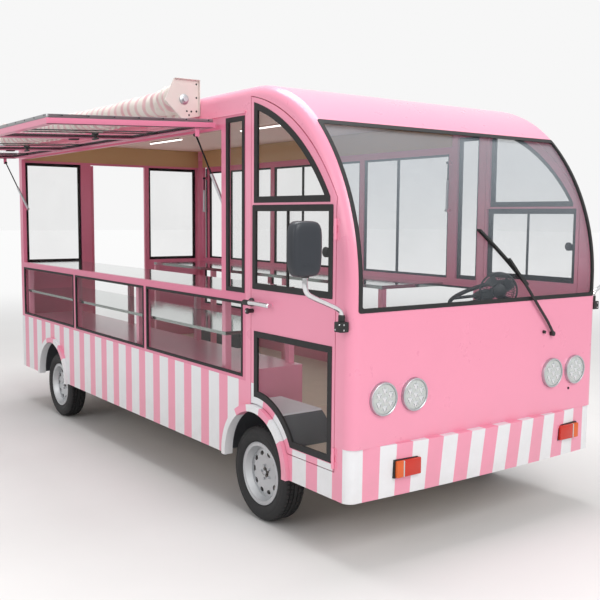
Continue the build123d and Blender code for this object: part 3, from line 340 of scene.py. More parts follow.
def arch_stripes(n, turn, pink_spans):
    """1 on the white parts of a fan of stripes, whose pink parts lie between pairs of angles in degrees."""
    pink = 0.0
    for low, high in pink_spans:
        above = n.more(turn, low / 360)
        pink = n.math("ADD", n.times(above, n.less(turn, high / 360)), pink)
    return n.math("SUBTRACT", 1.0, pink)


def striped_gloss(n, striped):
    """Set a thin coat and return pink, white where the mask is 1, with road dust low down."""
    pink = varied(n, PINK, 0.03, 1.7)
    white = varied(n, WHITE, 0.02, 2.3)
    n.set(coat=0.3, coat_rough=0.12)
    return dusted(n, n.mix(striped, pink, white))


def door_paint():
    """Pink door with a chromed handle and the skirt's stripes along its lower lip and round the arch."""
    n = Nodes("door_paint_m")
    lip_top, edge_top, handle_low, handle_high = 0.515, 0.81, 1.25, 1.29
    lip_reach = 0.386
    low = between(n, "Z", 0.0, lip_top)
    striped = n.times(low, stripe_mask(n, *SIDE_STRIPES))
    reach, turn = arch_reach(n, ARCH_XS[0])
    above_lip = n.more(axis_of(n, "Z"), lip_top)
    lip = n.times(n.less(reach, lip_reach), above_lip)
    fan = n.times(lip, arch_stripes(n, turn, FRONT_FAN))
    at_edge = n.less(axis_of(n, "X"), AXLE_X + 0.035)
    edge = n.times(between(n, "Z", lip_top, edge_top), at_edge)
    off_lip = n.times(striped, n.math("SUBTRACT", 1.0, lip))
    striped = n.math("MAXIMUM", off_lip, n.math("MAXIMUM", fan, edge))
    proud = n.more(side_reach(n), HALF + 0.003)
    chrome = n.times(proud, between(n, "Z", handle_low, handle_high))
    n.set(base=n.mix(chrome, striped_gloss(n, striped), srgb(222, 224, 226)), metal=chrome)
    n.set(rough=n.spread(chrome, 0.3, 0.14))
    n.bump(n.noise(260.0, 2.0), 0.05, 0.0006)
    return n.material


def flare_paint():
    """Wheel arch lips with stripes that fan out round the wheel."""
    n = Nodes("flare_paint_m")
    front = arch_stripes(n, arch_reach(n, ARCH_XS[0])[1], FRONT_FAN)
    rear = arch_stripes(n, arch_reach(n, ARCH_XS[1])[1], REAR_FAN)
    at_rear = n.less(axis_of(n, "X"), AXLE_X - WHEELBASE / 2)
    at_front = n.math("SUBTRACT", 1.0, at_rear)
    striped = n.math("ADD", n.times(rear, at_rear), n.times(front, at_front))
    n.set(base=striped_gloss(n, striped), rough=n.spread(n.noise(7.0), 0.26, 0.36))
    n.bump(n.noise(240.0, 2.0), 0.05, 0.0006)
    return n.material


def housing_finish():
    """Inner wheel housings: pale sheet on top and a ribbed dark mat over the round sides."""
    n = Nodes("housing_m")
    top_z, outer_y, ribs_per_metre = 0.652, 0.922, 90.0
    on_top = n.more(axis_of(n, "Z"), top_z)
    pale = n.math("MAXIMUM", on_top, n.more(side_reach(n), outer_y))
    ribs = n.math("FRACT", n.times(side_reach(n), ribs_per_metre))
    mat = varied(n, srgb(90, 93, 98), 0.12, 9.0)
    n.set(base=n.mix(pale, mat, srgb(240, 244, 247)), rough=n.spread(n.noise(30.0), 0.5, 0.7))
    n.bump(ribs, 0.25, 0.001)
    return n.material


def skirt_paint():
    """Gloss paint with white stripes on the outer skin only, along the sides and across the back."""
    n = Nodes("side_stripes_m")
    at_side = n.more(side_reach(n), HALF - 0.006)
    at_back = n.less(axis_of(n, "X"), AXLE_X + REAR_X + 0.006)
    along = n.times(at_side, stripe_mask(n, *SIDE_STRIPES))
    across = n.times(at_back, stripe_mask(n, *BAND_STRIPES))
    striped = n.math("MAXIMUM", along, across)
    n.set(base=striped_gloss(n, striped), rough=n.spread(n.noise(7.0), 0.26, 0.36))
    n.bump(n.noise(240.0, 2.0), 0.05, 0.0006)
    return n.material


def band_paint():
    """Striped front band, white round its corners."""
    n = Nodes("band_paint_m")
    striped = stripe_mask(n, *BAND_STRIPES)
    corner = n.more(side_reach(n), CORNER_Y)
    both = n.math("MAXIMUM", striped, corner)
    n.set(base=striped_gloss(n, both), rough=n.spread(n.noise(7.0), 0.26, 0.36))
    return n.material


def awning_weave():
    """Cream cloth with soft, sun-faded pink stripes."""
    n = Nodes("awning_cloth_m")
    pitch, edge_start, edge_end = 0.105, 0.11, 0.26
    drift = n.times(n.math("SUBTRACT", n.noise(2.4), 0.5), 0.05)
    along = n.math("ADD", n.math("SUBTRACT", axis_of(n, "X"), AXLE_X), drift)
    run = n.math("FRACT", n.math("DIVIDE", along, pitch))
    edge = n.ramp(n.math("ABSOLUTE", n.math("SUBTRACT", run, 0.5)), edge_start, edge_end, smooth=True)
    faded = n.mix(n.noise(9.0), srgb(212, 150, 160), srgb(232, 204, 202))
    cream = n.mix(n.noise(3.2, 6.0, 0.7), srgb(218, 204, 194), srgb(242, 234, 228))
    n.set(base=n.mix(edge, faded, cream), rough=n.spread(n.noise(60.0), 0.78, 0.92), sheen=0.3)
    n.bump(n.noise(520.0, 2.0), 0.25, 0.0008)
    return n.material


def lining():
    """Pale ceiling, its pink tone painted reflected light, with a tan strip of painted shade down each side
    and across the back.
    """
    n = Nodes("ceiling_lining_m")
    shaded_sides = n.more(side_reach(n), 0.9)
    strip = n.math("MAXIMUM", shaded_sides, n.less(axis_of(n, "X"), AXLE_X - 3.98))
    # The pink tone is painted reflected light, and the tan of the strip is the same lining painted in shade.
    n.set(base=n.mix(strip, srgb(236, 204, 194), srgb(204, 166, 122)))
    n.set(rough=n.spread(n.noise(40.0), 0.5, 0.62))
    n.bump(n.noise(300.0, 2.0), 0.08, 0.0006)
    return n.material


def lamp_glow():
    """Ceiling lamps whose lower part is the glowing tube."""
    n = Nodes("lamp_glow_m")
    tube_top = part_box("ceiling_lamps")[0].z + 0.009
    tube = n.less(axis_of(n, "Z"), tube_top)
    n.set(base=(0.72, 0.56, 0.52, 1.0), glow_colour=(1.0, 1.0, 0.97, 1.0), glow=n.times(tube, 2.2))
    return n.material


def counter_finish():
    """Pink counters with steel tops and a steel shelf in the right one."""
    n = Nodes("counter_mix_m")
    shelf_low, shelf_high, top_z = 1.039, 1.061, 1.2535
    on_right = n.less(axis_of(n, "Y"), CENTRE_Y)
    shelf = n.times(between(n, "Z", shelf_low, shelf_high), on_right)
    steel = n.math("MAXIMUM", n.more(axis_of(n, "Z"), top_z), shelf)
    pink = varied(n, srgb(238, 156, 180), 0.05, 3.0)
    n.set(base=n.mix(steel, pink, varied(n, srgb(176, 184, 180), 0.06, 2.0)), coat=0.4, coat_rough=0.1)
    n.set(metal=n.times(steel, 0.9), rough=n.spread(steel, 0.3, 0.09))
    return n.material


MAT = {
    "pink": paint("pink_paint_m", PINK),
    "pink_in_shade": paint("pink_in_shade_m", PINK_IN_SHADE, 0.3),
    "side_stripes": skirt_paint(),
    "front_stripes": band_paint(),
    "door": door_paint(),
    "flares": flare_paint(),
    "housing": housing_finish(),
    "seal": rubber("seal_rubber_m"),
    "tyre": rubber("tyre_rubber_m", srgb(34, 34, 35), 0.72),
    "rim": metal("rim_silver_m", srgb(196, 198, 200), 0.42),
    "chrome": metal("chrome_m", srgb(225, 226, 228), 0.12, 40.0, 0.02),
    "steel": metal("steel_m", srgb(190, 192, 195), 0.32),
    "black_paint": paint("chassis_black_m", srgb(30, 30, 31), 0.42),
    "black": plastic("black_plastic_m", srgb(26, 26, 27)),
    "glass": window_glass("window_glass_m", srgb(104, 116, 112), 0.06),
    # The windscreen's pale blue-grey tint, clouding towards its top, is a painted sky reflection.
    "screen": window_glass("windscreen_m", srgb(146, 158, 168), 0.06, 0.30),
    "mirror_black": plastic("mirror_black_m", srgb(43, 47, 54), 0.38),
    "cream": paint("cream_paint_m", srgb(226, 214, 208), 0.4),
    "dark_steel": metal("dark_steel_m", srgb(84, 84, 88), 0.4),
    "mirror_glass": metal("mirror_glass_m", srgb(206, 212, 216), 0.03, 4.0, 0.0),
    "ceiling": lining(),
    "reflector": metal("reflector_m", srgb(222, 224, 226), 0.18, 30.0, 0.02),
    "lens": plastic("clear_lens_m", srgb(196, 200, 197), 0.22),
    "riveted": metal("grey_sheet_m", srgb(166, 166, 168), 0.42),
    "floor": plastic("floor_sheet_m", srgb(234, 222, 202), 0.6),
    "leather": plastic("seat_leather_m", srgb(40, 40, 42), 0.5),
    "cloth": awning_weave(),
    "lamp": lamp_glow(),
    "red_lens": plastic("red_lens_m", srgb(200, 46, 28), 0.2),
    "amber_lens": plastic("amber_lens_m", srgb(222, 98, 34), 0.2),
    "black_metal": metal("strut_black_m", srgb(40, 40, 42), 0.35),
    "counter_mix": counter_finish(),
}


# Materials of the solids that show as they are
def dress_solids():
    by_material = {
        "pink": ("cab_shell", "roof_panel"),
        # The frames take the body's pink painted darker as shade.
        "pink_in_shade": ("side_frame_right", "side_frame_left", "rear_frame", "rear_door_frame",
                       "flap_frame_right", "flap_frame_left"),
        "door": ("door_panel_right", "door_panel_left"),
        "side_stripes": ("side_skirts", "rear_skirt"),
        "flares": ("arch_flares",),
        "front_stripes": ("front_band",),
        "screen": ("windscreen",),
        "glass": ("body_glass", "door_glass_right", "door_glass_left", "flap_glass_right",
                  "flap_glass_left", "rear_door_glass"),
        "seal": ("window_seals", "door_seals_right", "door_seals_left"),
        "tyre": ("tyre_front_right", "tyre_front_left", "tyre_rear_right", "tyre_rear_left"),
        "rim": ("rim_front_right", "rim_front_left", "rim_rear_right", "rim_rear_left"),
        "black_paint": ("chassis_frame", "tow_eyes", "front_axle", "rear_axle", "leaf_springs",
                        "knuckle_right", "knuckle_left", "battery_box", "drive_motor"),
        "ceiling": ("ceiling_panel",),
        "floor": ("floor_deck",),
        "housing": ("wheel_housings",),
        "lamp": ("ceiling_lamps",),
        "cream": ("awning_frame",),
        "lens": ("headlamps",),
        "red_lens": ("signal_lamps",),
        "black": ("wiper", "steering_wheel", "dashboard", "mirrors"),
        "leather": ("seat_cushion", "seat_base"),
        "steel": ("strut_tubes_right", "strut_tubes_left"),
        "black_metal": ("strut_rods_right", "strut_rods_left"),
        "counter_mix": ("counters",),
        "cloth": ("awning_roll",),
    }
    for key, names in by_material.items():
        for name in names:
            node = nodes[name]
            node.data.materials.clear()
            node.data.materials.append(MAT[key])


dress_solids()


# Building blocks
def finish_piece(name, shape, material, body, smooth=35.0, bevel=0.0):
    """Link a shape as a piece of one body, smoothed up to an angle in degrees."""
    mesh = shape.mesh(name, bevel)
    piece = bpy.data.objects.new(name, mesh)
    bpy.context.scene.collection.objects.link(piece)
    mesh.materials.append(MAT[material])
    if smooth:
        mesh.polygons.foreach_set("use_smooth", [True] * len(mesh.polygons))
        mesh.set_sharp_from_angle(angle=radians(smooth))
    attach(piece, body)
    return piece


class Shape:
    """Collects solid forms into one mesh."""

    def __init__(self):
        self.verts = []
        self.faces = []

    def grid(self, rows, close_across=False, close_along=False):
        """Skin over rows of points that all have the same count."""
        start = len(self.verts)
        count = len(rows[0])
        for row in rows:
            self.verts.extend(row)
        along = len(rows) if close_along else len(rows) - 1
        across = count if close_across else count - 1
        for i in range(along):
            for j in range(across):
                a = start + i * count + j
                b = start + i * count + (j + 1) % count
                c = start + ((i + 1) % len(rows)) * count + (j + 1) % count
                d = start + ((i + 1) % len(rows)) * count + j
                self.faces.append((a, b, c, d))

    def cap(self, row, flip=False):
        start = len(self.verts)
        self.verts.extend(row)
        ring = list(range(start, start + len(row)))
        self.faces.append(tuple(reversed(ring)) if flip else tuple(ring))

    def lathe(self, profile, centre, axis, side, segments=64):
        """Turn (radius, height) points about an axis through a centre."""
        axis = Vector(axis).normalized()
        side = Vector(side).normalized()
        other = axis.cross(side)
        rows = []
        for step in range(segments):
            turn = 2 * pi * step / segments
            out = side * cos(turn) + other * sin(turn)
            rows.append([centre + out * radius + axis * height for radius, height in profile])
        self.grid(rows, close_along=True)

    def tube(self, points, radius, segments=16):
        """Round bar along a line of points, with flat ends."""
        points = [Vector(p) for p in points]
        rows = []
        for index, point in enumerate(points):
            ahead = points[min(index + 1, len(points) - 1)] - points[max(index - 1, 0)]
            ahead.normalize()
            guide = Vector(UP) if abs(ahead.z) < 0.9 else Vector(LEFT)
            side = ahead.cross(guide).normalized()
            up = side.cross(ahead)
            turns = [2 * pi * k / segments for k in range(segments)]
            rows.append([point + (side * cos(a) + up * sin(a)) * radius for a in turns])
        self.grid(rows, close_across=True)
        self.cap(rows[0])
        self.cap(rows[-1], flip=True)

    def box(self, low, high, place=Vector):
        """Block between two corners, whose points a function may carry elsewhere."""
        x0, y0, z0 = low
        x1, y1, z1 = high
        start = len(self.verts)
        self.verts.extend(place(v) for v in (
            (x0, y0, z0), (x1, y0, z0), (x1, y1, z0), (x0, y1, z0),
            (x0, y0, z1), (x1, y0, z1), (x1, y1, z1), (x0, y1, z1)
        ))
        for face in ((0, 3, 2, 1), (4, 5, 6, 7), (0, 1, 5, 4), (1, 2, 6, 5), (2, 3, 7, 6), (3, 0, 4, 7)):
            self.faces.append(tuple(start + k for k in face))

    def mesh(self, name, bevel):
        """The shape as a mesh, with its sharp edges rounded if a bevel is given."""
        weld_distance = 0.00002
        sharp_angle = 0.5
        mesh = bpy.data.meshes.new(name)
        mesh.from_pydata([tuple(v) for v in self.verts], [], self.faces)
        work = bmesh.new()
        work.from_mesh(mesh)
        bmesh.ops.remove_doubles(work, verts=work.verts, dist=weld_distance)
        bmesh.ops.recalc_face_normals(work, faces=work.faces)
        if bevel:
            sharp = [e for e in work.edges if len(e.link_faces) == 2 and e.calc_face_angle(0) > sharp_angle]
            bmesh.ops.bevel(work, geom=sharp, offset=bevel, segments=2, profile=0.6, affect="EDGES")
        work.to_mesh(mesh)
        work.free()
        return mesh


def bead_ring(radius, bead, count):
    """Profile of a round wire bent to a ring."""
    turns = [2 * pi * k / count for k in range(count + 1)]
    return [(radius + bead * cos(a), bead * sin(a)) for a in turns]


# Tyres with cut tread, lettering left off
def tyre_profile():
    """(radius, distance across) from bead to bead over the tread."""
    wall = [
        (0.165, 0.0565), (0.1828, 0.0568), (0.188, 0.0625), (0.200, 0.0705), (0.216, 0.0745),
        (0.232, 0.0748), (0.2335, 0.0738), (0.236, 0.0738), (0.2375, 0.0742), (0.248, 0.0720),
        (0.258, 0.0670), (0.266, 0.0615), (0.2712, 0.0560)
    ]
    tread = []
    width = 0.006
    for centre in (0.0400, 0.0140):
        tread += [(0.2738, centre + width), (0.2738, centre + width / 2 + 0.0004)]
        tread += [(0.2668, centre + width / 2 - 0.0006), (0.2668, centre - width / 2 + 0.0006)]
        tread += [(0.2745, centre - width / 2 - 0.0004)]
    half_profile = wall + tread
    return half_profile + [(r, -w) for r, w in reversed(half_profile)]


def make_tyre(name, node, body, out):
    low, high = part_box(node)
    centre = (low + high) / 2
    profile = tyre_profile()
    steps = 5
    pitches = 58
    slot_depth, slot_radius, slot_reach = 0.0055, 0.2690, 0.016
    slant = 0.10
    shape = Shape()
    rows = []
    for step in range(pitches * steps):
        turn = 2 * pi * step / (pitches * steps)
        in_slot = step % steps == 0
        row = []
        for radius, across in profile:
            r = radius
            if in_slot and radius > slot_radius and abs(across) > slot_reach:
                r = radius - slot_depth
            lean = slant * across
            direction = Vector((cos(turn + lean), 0, sin(turn + lean)))
            row.append(centre + direction * r + Vector((0, out * across, 0)))
        rows.append(row)
    shape.grid(rows, close_along=True)
    piece = finish_piece(name, shape, "tyre", body, 40.0)
    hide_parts(node)


def make_wheel_trim(name, node, body, out):
    """Wheel nuts, hub nut, rim beads and valve on one wheel, and dark discs of painted shade in its hub
    hole.
    """
    low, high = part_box(node)
    centre = (low + high) / 2
    axis = (0, out, 0)
    face, dish = 0.021, 0.0205
    nut_circle, lobe_circle = 0.040, 0.020

    def at(radius, turn, away):
        return centre + Vector((cos(turn) * radius, out * away, sin(turn) * radius))

    shape = Shape()
    nut = [(0, 0.012), (0.006, 0.012), (0.0075, 0.010), (0.0075, 0)]
    for index in range(5):
        shape.lathe(nut, at(nut_circle, 2 * pi * (index + 0.5) / 5, face), axis, AHEAD, 6)
    hub_nut = [(0.0155, 0.0), (0.0155, 0.011), (0.012, 0.015), (0, 0.015)]
    shape.lathe(hub_nut, at(0, 0, face - 0.0005), axis, AHEAD, 6)
    shape.lathe([(0.005, 0), (0.004, 0.016), (0, 0.018)], at(0.150, 0, 0.030), axis, AHEAD, 12)
    for radius, across, bead in ((0.1795, 0.0600, 0.0042), (0.1500, 0.0335, 0.0030)):
        shape.lathe(bead_ring(radius, bead, 12), at(0, 0, across), axis, AHEAD, 72)
    finish_piece(name, shape, "steel", body, 30.0)
    # Dark discs painted as the shade inside the hub hole and its four lobe holes.
    dark = Shape()
    for index in range(4):
        place = at(lobe_circle, pi * (index + 0.3) / 2, dish)
        dark.lathe([(0.011, 0), (0.010, 0.006), (0.0, 0.006)], place, axis, AHEAD, 20)
    dark.lathe([(0.026, 0), (0.024, 0.0015), (0.0, 0.0015)], at(0, 0, dish), axis, AHEAD, 40)
    finish_piece(name + "_hub_shade", dark, "black_paint", body, 30.0)


for corner, body_name, out_way in (
    ("front_right", "wheel_fr", -1), ("front_left", "wheel_fl", 1),
    ("rear_right", "wheel_rr", -1), ("rear_left", "wheel_rl", 1),
):
    make_tyre("tyre_shape_" + corner, "tyre_" + corner, body_name, out_way)
    make_wheel_trim("wheel_nuts_" + corner, "rim_" + corner, body_name, out_way)


# Round front lamps: a rim, a bowl and seven lens cells
def make_headlamps():
    rim, bowl, cells = Shape(), Shape(), Shape()
    rim_profile = [(0.0865, -0.010), (0.0865, 0.012), (0.0845, 0.0175), (0.0800, 0.0195), (0.0765, 0.0175),
                   (0.0755, 0.010), (0.0755, -0.006)]
    bowl_profile = [(0.0757, 0.012), (0.070, 0.0145), (0.040, 0.0165), (0.0, 0.0168)]
    cell_profile = [(0.0240, 0.0), (0.0225, 0.0030), (0.0060, 0.0075), (0.0, 0.0079)]
    tip_profile = [(0.0075, 0.0), (0.0068, 0.0018), (0.0, 0.0030)]
    cell_circle, tip_circle, cell_depth = 0.0445, 0.0165, 0.0155
    spots = [(0.0, 0.0)]
    for turn in range(30, 390, 60):
        spots.append((cell_circle * cos(radians(turn)), cell_circle * sin(radians(turn))))
    for y in (-0.760, -0.550, 0.550, 0.760):
        seat = P(NOSE_X, y, 0.850)
        rim.lathe(rim_profile, seat, AHEAD, LEFT, 72)
        bowl.lathe(bowl_profile, seat, AHEAD, LEFT, 72)
        for dy, dz in spots:
            place = seat + Vector((cell_depth, dy, dz))
            cells.lathe(cell_profile, place, AHEAD, (0, 0, -1), 3)
            for turn in (90, 210, 330):
                out = Vector((0, cos(radians(turn)), sin(radians(turn)))) * tip_circle
                cells.lathe(tip_profile, place + out, AHEAD, UP, 3)
    rim_piece = finish_piece("headlamp_rims", rim, "steel", "body")
    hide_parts("headlamps")
    finish_piece("headlamp_faces", bowl, "lens", "body")
    finish_piece("headlamp_cells", cells, "reflector", "body", 20.0)


make_headlamps()


# Signal lamps: a black back with amber and red lenses
def make_signal_lamps():
    back, red, amber, clear = Shape(), Shape(), Shape(), Shape()
    lamp_z, reflection_low, band_height = 0.480, 0.337, 0.273
    bow = 0.024 + 0.035 * (lamp_z - reflection_low) / band_height
    for y, outward in ((-0.600, -1), (0.710, 1)):
        front = 0.866 + bow * (1 - (y / 0.905) ** 2) + 0.008
        place = P(front, y, lamp_z)
        back.box(place + Vector((-0.028, -0.089, -0.048)), place + Vector((-0.003, 0.089, 0.048)))
        inner = place + Vector((-0.004, 0, 0))
        split = outward * 0.036
        edge_out = outward * 0.084
        edge_in = -outward * 0.084
        lows = (min(split, edge_out) + 0.002, max(split, edge_out))
        amber.box(inner + Vector((0, lows[0], -0.043)), inner + Vector((0.018, lows[1], 0.043)))
        lows = (min(split, edge_in), max(split, edge_in) - 0.002)
        red.box(inner + Vector((0, lows[0], -0.043)), inner + Vector((0.018, lows[1], 0.043)))
        clear.box(inner + Vector((0, split - 0.004, -0.042)), inner + Vector((0.0188, split + 0.004, 0.042)))
    for side in (-1, 1):
        place = P(REAR_X - 0.020, side * 0.860, 0.660)
        back.box(place + Vector((0.004, -0.046, -0.111)), place + Vector((0.030, 0.046, 0.111)))
        red.box(place + Vector((-0.004, -0.041, 0.020)), place + Vector((0.010, 0.041, 0.105)))
        amber.box(place + Vector((-0.004, -0.041, -0.058)), place + Vector((0.010, 0.041, 0.016)))
        clear.box(place + Vector((-0.004, -0.041, -0.105)), place + Vector((0.010, 0.041, -0.062)))
    piece = finish_piece("signal_backs", back, "black", "body", bevel=0.004)
    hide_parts("signal_lamps")
    finish_piece("signal_red", red, "red_lens", "body", bevel=0.004)
    finish_piece("signal_amber", amber, "amber_lens", "body", bevel=0.004)
    finish_piece("signal_clear", clear, "lens", "body", bevel=0.002)


make_signal_lamps()


# Awning cloth, rolled loosely round its core, with its free edge hanging
def make_awning():
    length = 3.262
    middle = P(-2.245, -1.070, 2.440)
    turns = 3.6
    first = 0.034
    last = 0.078
    steps = 118
    hem = 16
    stations = 240
    rows = []
    for i in range(stations):
        along = -length / 2 + length * i / (stations - 1)
        left = length / 2 - along
        near = max(0.0, 1.0 - left / 0.62)
        bunch = near * near * (3 - 2 * near)
        tip = max(0.0, 1.0 - left / 0.30) ** 1.5 * min(1.0, 0.2 + left * 20.0)
        row = []
        for j in range(steps):
            share = j / (steps - 1)
            angle = 2 * pi * turns * share + 1.25
            ripple = 0.0022 * sin(along * 33.0 + 1.7 * sin(along * 5.0)) * (0.4 + 0.6 * share)
            sag = 0.0040 * sin(along * 5.3 + angle) + 0.0028 * sin(along * 13.1 - 2 * angle)
            waves = 0.0070 * sin(along * 47.0 + 3 * angle) + 0.0050 * sin(along * 71.0 - 5 * angle)
            lump = bunch * waves
            swell = 0.052 * tip * max(0.0, cos(angle - radians(140))) ** 1.5
            radius = first + (last - first) * share + (sag + ripple + lump + swell) * share
            row.append(middle + Vector((along, cos(angle) * radius, sin(angle) * radius)))
        for j in range(1, hem + 1):
            share = j / hem
            drop = (0.018 + 0.050 * bunch) * share
            fold = (0.006 + 0.010 * bunch) * share * sin(along * 42.0 + 2.1 * sin(along * 9.0))
            radius = hypot(row[steps - 1].y - middle.y, row[steps - 1].z - middle.z)
            edge = Vector((along, cos(angle) * radius, sin(angle) * radius))
            row.append(middle + edge + Vector((0, fold - 0.004 * share, -drop)))
        rows.append(row)
    shape = Shape()
    shape.grid(rows)
    piece = finish_piece("awning_cloth", shape, "cloth", "body", 0)
    mesh = piece.data
    mesh.polygons.foreach_set("use_smooth", [True] * len(mesh.polygons))
    thick = piece.modifiers.new("thick", "SOLIDIFY")
    thick.thickness = 0.0008
    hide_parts("awning_roll")


make_awning()


# Folded lip, winding bolt and fixing holes of the awning's end plates, the holes drawn as dark discs of
# painted shade
def make_awning_plates():
    lip, bolt, hole_shades = Shape(), Shape(), Shape()
    bolt_profile = [(0.030, 0), (0.030, 0.006), (0.022, 0.010), (0.014, 0.010), (0.014, 0.022), (0, 0.022)]
    hole_places = ((-0.985, 2.375), (-0.985, 2.455), (-0.985, 2.535), (-1.020, 2.372), (-1.050, 2.372),
                   (-1.035, 2.350))
    inner, outer = -0.967, -1.131
    top, bottom = 2.560, 2.3475
    depth = 0.016
    for face, out in ((-0.598, 1), (-3.892, -1)):
        for low, high in (
            ((0, outer, top - 0.003), (depth, inner, top)),
            ((0, inner - 0.003, bottom), (depth, inner, top)),
        ):
            xs = sorted((face + out * low[0], face + out * high[0]))
            lip.box(P(xs[0], low[1], low[2]), P(xs[1], high[1], high[2]))
        hub = P(face, -1.070, 2.440)
        bolt.lathe(bolt_profile, hub, (out, 0, 0), LEFT, 40)
        # Dark discs painted as the shade inside the fixing holes.
        for y, z in hole_places:
            hole_shades.lathe([(0.006, 0), (0.0055, 0.0012), (0, 0.0012)], P(face, y, z), (out, 0, 0), LEFT, 20)
    finish_piece("awning_plate_lips", lip, "cream", "body", 30.0, bevel=0.001)
    finish_piece("awning_bolts", bolt, "steel", "body", 30.0)
    finish_piece("awning_plate_hole_shades", hole_shades, "black", "body", 30.0)


make_awning_plates()


def smooth_line(points, steps=8):
    """Points along a curve that passes smoothly through the given ones."""
    points = [Vector(p) for p in points]
    padded_points = [points[0]] + points + [points[-1]]
    line = []
    for a, b, c, d in zip(padded_points, padded_points[1:], padded_points[2:], padded_points[3:]):
        for k in range(steps):
            t = k / steps
            square = (2 * a - 5 * b + 4 * c - d) * t ** 2
            cube = (3 * b - a - 3 * c + d) * t ** 3
            line.append(0.5 * (2 * b + (c - a) * t + square + cube))
    return line + [points[-1]]


def squared(value, power):
    """A sine or cosine pushed towards 1, which turns a circle into a rounded square."""
    return copysign(abs(value) ** power, value)


def rounded_ring(width, height):
    """Outline of a rounded rectangle as (across, up) pairs."""
    power = 2 / 4.6
    turns = [2 * pi * k / 64 for k in range(64)]
    return [(squared(cos(a), power) * width / 2, squared(sin(a), power) * height / 2) for a in turns]


# Door mirrors: a moulded head, a bent chromed arm and a black foot, and a dark disc of painted shade for a
# small hole in the nose
def make_mirrors():
    heads, glass, arms, feet = Shape(), Shape(), Shape(), Shape()
    mirror_x, mirror_y, mirror_z, arm_y = 0.830, 1.210, 1.600, 0.990
    head_steps = (
        (-0.0295, 0.93), (-0.0300, 0.97), (-0.0270, 0.995), (-0.0180, 1.0), (0.0020, 0.995), (0.0140, 0.975),
        (0.0220, 0.93), (0.0265, 0.85), (0.0288, 0.70), (0.0296, 0.45), (0.0299, 0.15)
    )
    bends = ((1.210, 1.480), (1.210, 1.430), (1.196, 1.392), (1.150, 1.366),
             (1.080, 1.338), (1.016, 1.310), (0.992, 1.288), (0.990, 1.262))
    foot = [(0.0, 1.236), (0.0165, 1.236), (0.0165, 1.276), (0.0135, 1.280), (0.0, 1.280)]
    collar = [(0.0, 0.0), (0.020, 0.0), (0.020, 0.012), (0.0, 0.012)]
    screw = [(0.0048, 0.0), (0.0040, 0.003), (0.0, 0.0036)]
    for side in (-1, 1):
        rows = []
        for reach, share in head_steps:
            row = []
            for across, up in rounded_ring(0.172 * share, 0.260 * (1 - (1 - share) * 0.7)):
                taper = 1 - 0.05 * max(0.0, -up / 0.130)
                row.append(P(mirror_x + reach, side * mirror_y + across * taper, mirror_z + up))
            rows.append(row)
        heads.grid(rows, close_across=True)
        heads.cap(rows[0])
        heads.cap(rows[-1], flip=True)
        heads.box(P(0.8585, side * mirror_y - 0.028, 1.520), P(0.8608, side * mirror_y + 0.028, 1.528))
        glass.cap([P(0.7995, side * mirror_y + a, mirror_z + u) for a, u in rounded_ring(0.150, 0.236)])
        arms.tube(smooth_line([P(mirror_x, side * y, z) for y, z in bends]), 0.0125, 20)
        feet.lathe(foot, P(mirror_x, side * arm_y, 0), UP, AHEAD, 32)
        feet.box(P(0.803, side * arm_y - 0.025, 1.196), P(0.857, side * arm_y + 0.025, 1.246))
        feet.lathe(collar, P(mirror_x, side * mirror_y, 1.466), UP, AHEAD, 32)
        for dx, z in ((-0.016, 1.208), (0.016, 1.234)):
            arms.lathe(screw, P(mirror_x + dx, side * 1.015, z), (0, side, 0), AHEAD, 16)
        for z in (1.208, 1.234):
            arms.lathe(screw, P(0.857, side * 0.998, z), AHEAD, LEFT, 16)
    # A dark disc painted as the shade inside a small hole in the nose.
    nose_hole_shade = [(0.0, 0.0), (0.008, 0.0), (0.0075, 0.0012), (0.0, 0.0012)]
    feet.lathe(nose_hole_shade, P(NOSE_X, 0.715, 0.739), AHEAD, LEFT, 24)
    heads_piece = finish_piece("mirror_heads", heads, "mirror_black", "body", 50.0)
    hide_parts("mirrors")
    finish_piece("mirror_panes", glass, "mirror_glass", "body", 30.0)
    finish_piece("mirror_arms", arms, "chrome", "body", 50.0)
    finish_piece("mirror_feet", feet, "black", "body", 40.0, bevel=0.004)


make_mirrors()


# Serving flaps: grey sheet edge with rivets on the outside, black seals and latches round the panes
FLAP_Y = 0.985
FLAP_Z = 2.273
FLAP_TURN = radians(-87.6)
FLAP_FRONT_X, FLAP_REAR_X = -0.345, -3.904
FLAP_FAR = 1.015
FLAP_EDGES = (-0.400, -1.3445, -1.3995, -2.6435, -2.6985, -3.849)


def on_flap(side):
    """Carry (x, out from the hinge line, down from it) of a shut flap to where the flap stands."""
    def place(point):
        x, out, down = point
        if side > 0:
            return P(x, FLAP_Y + out, FLAP_Z - down)
        across = -out * cos(FLAP_TURN) + down * sin(FLAP_TURN)
        up = -out * sin(FLAP_TURN) - down * cos(FLAP_TURN)
        return P(x, across - FLAP_Y, FLAP_Z + up)
    return place


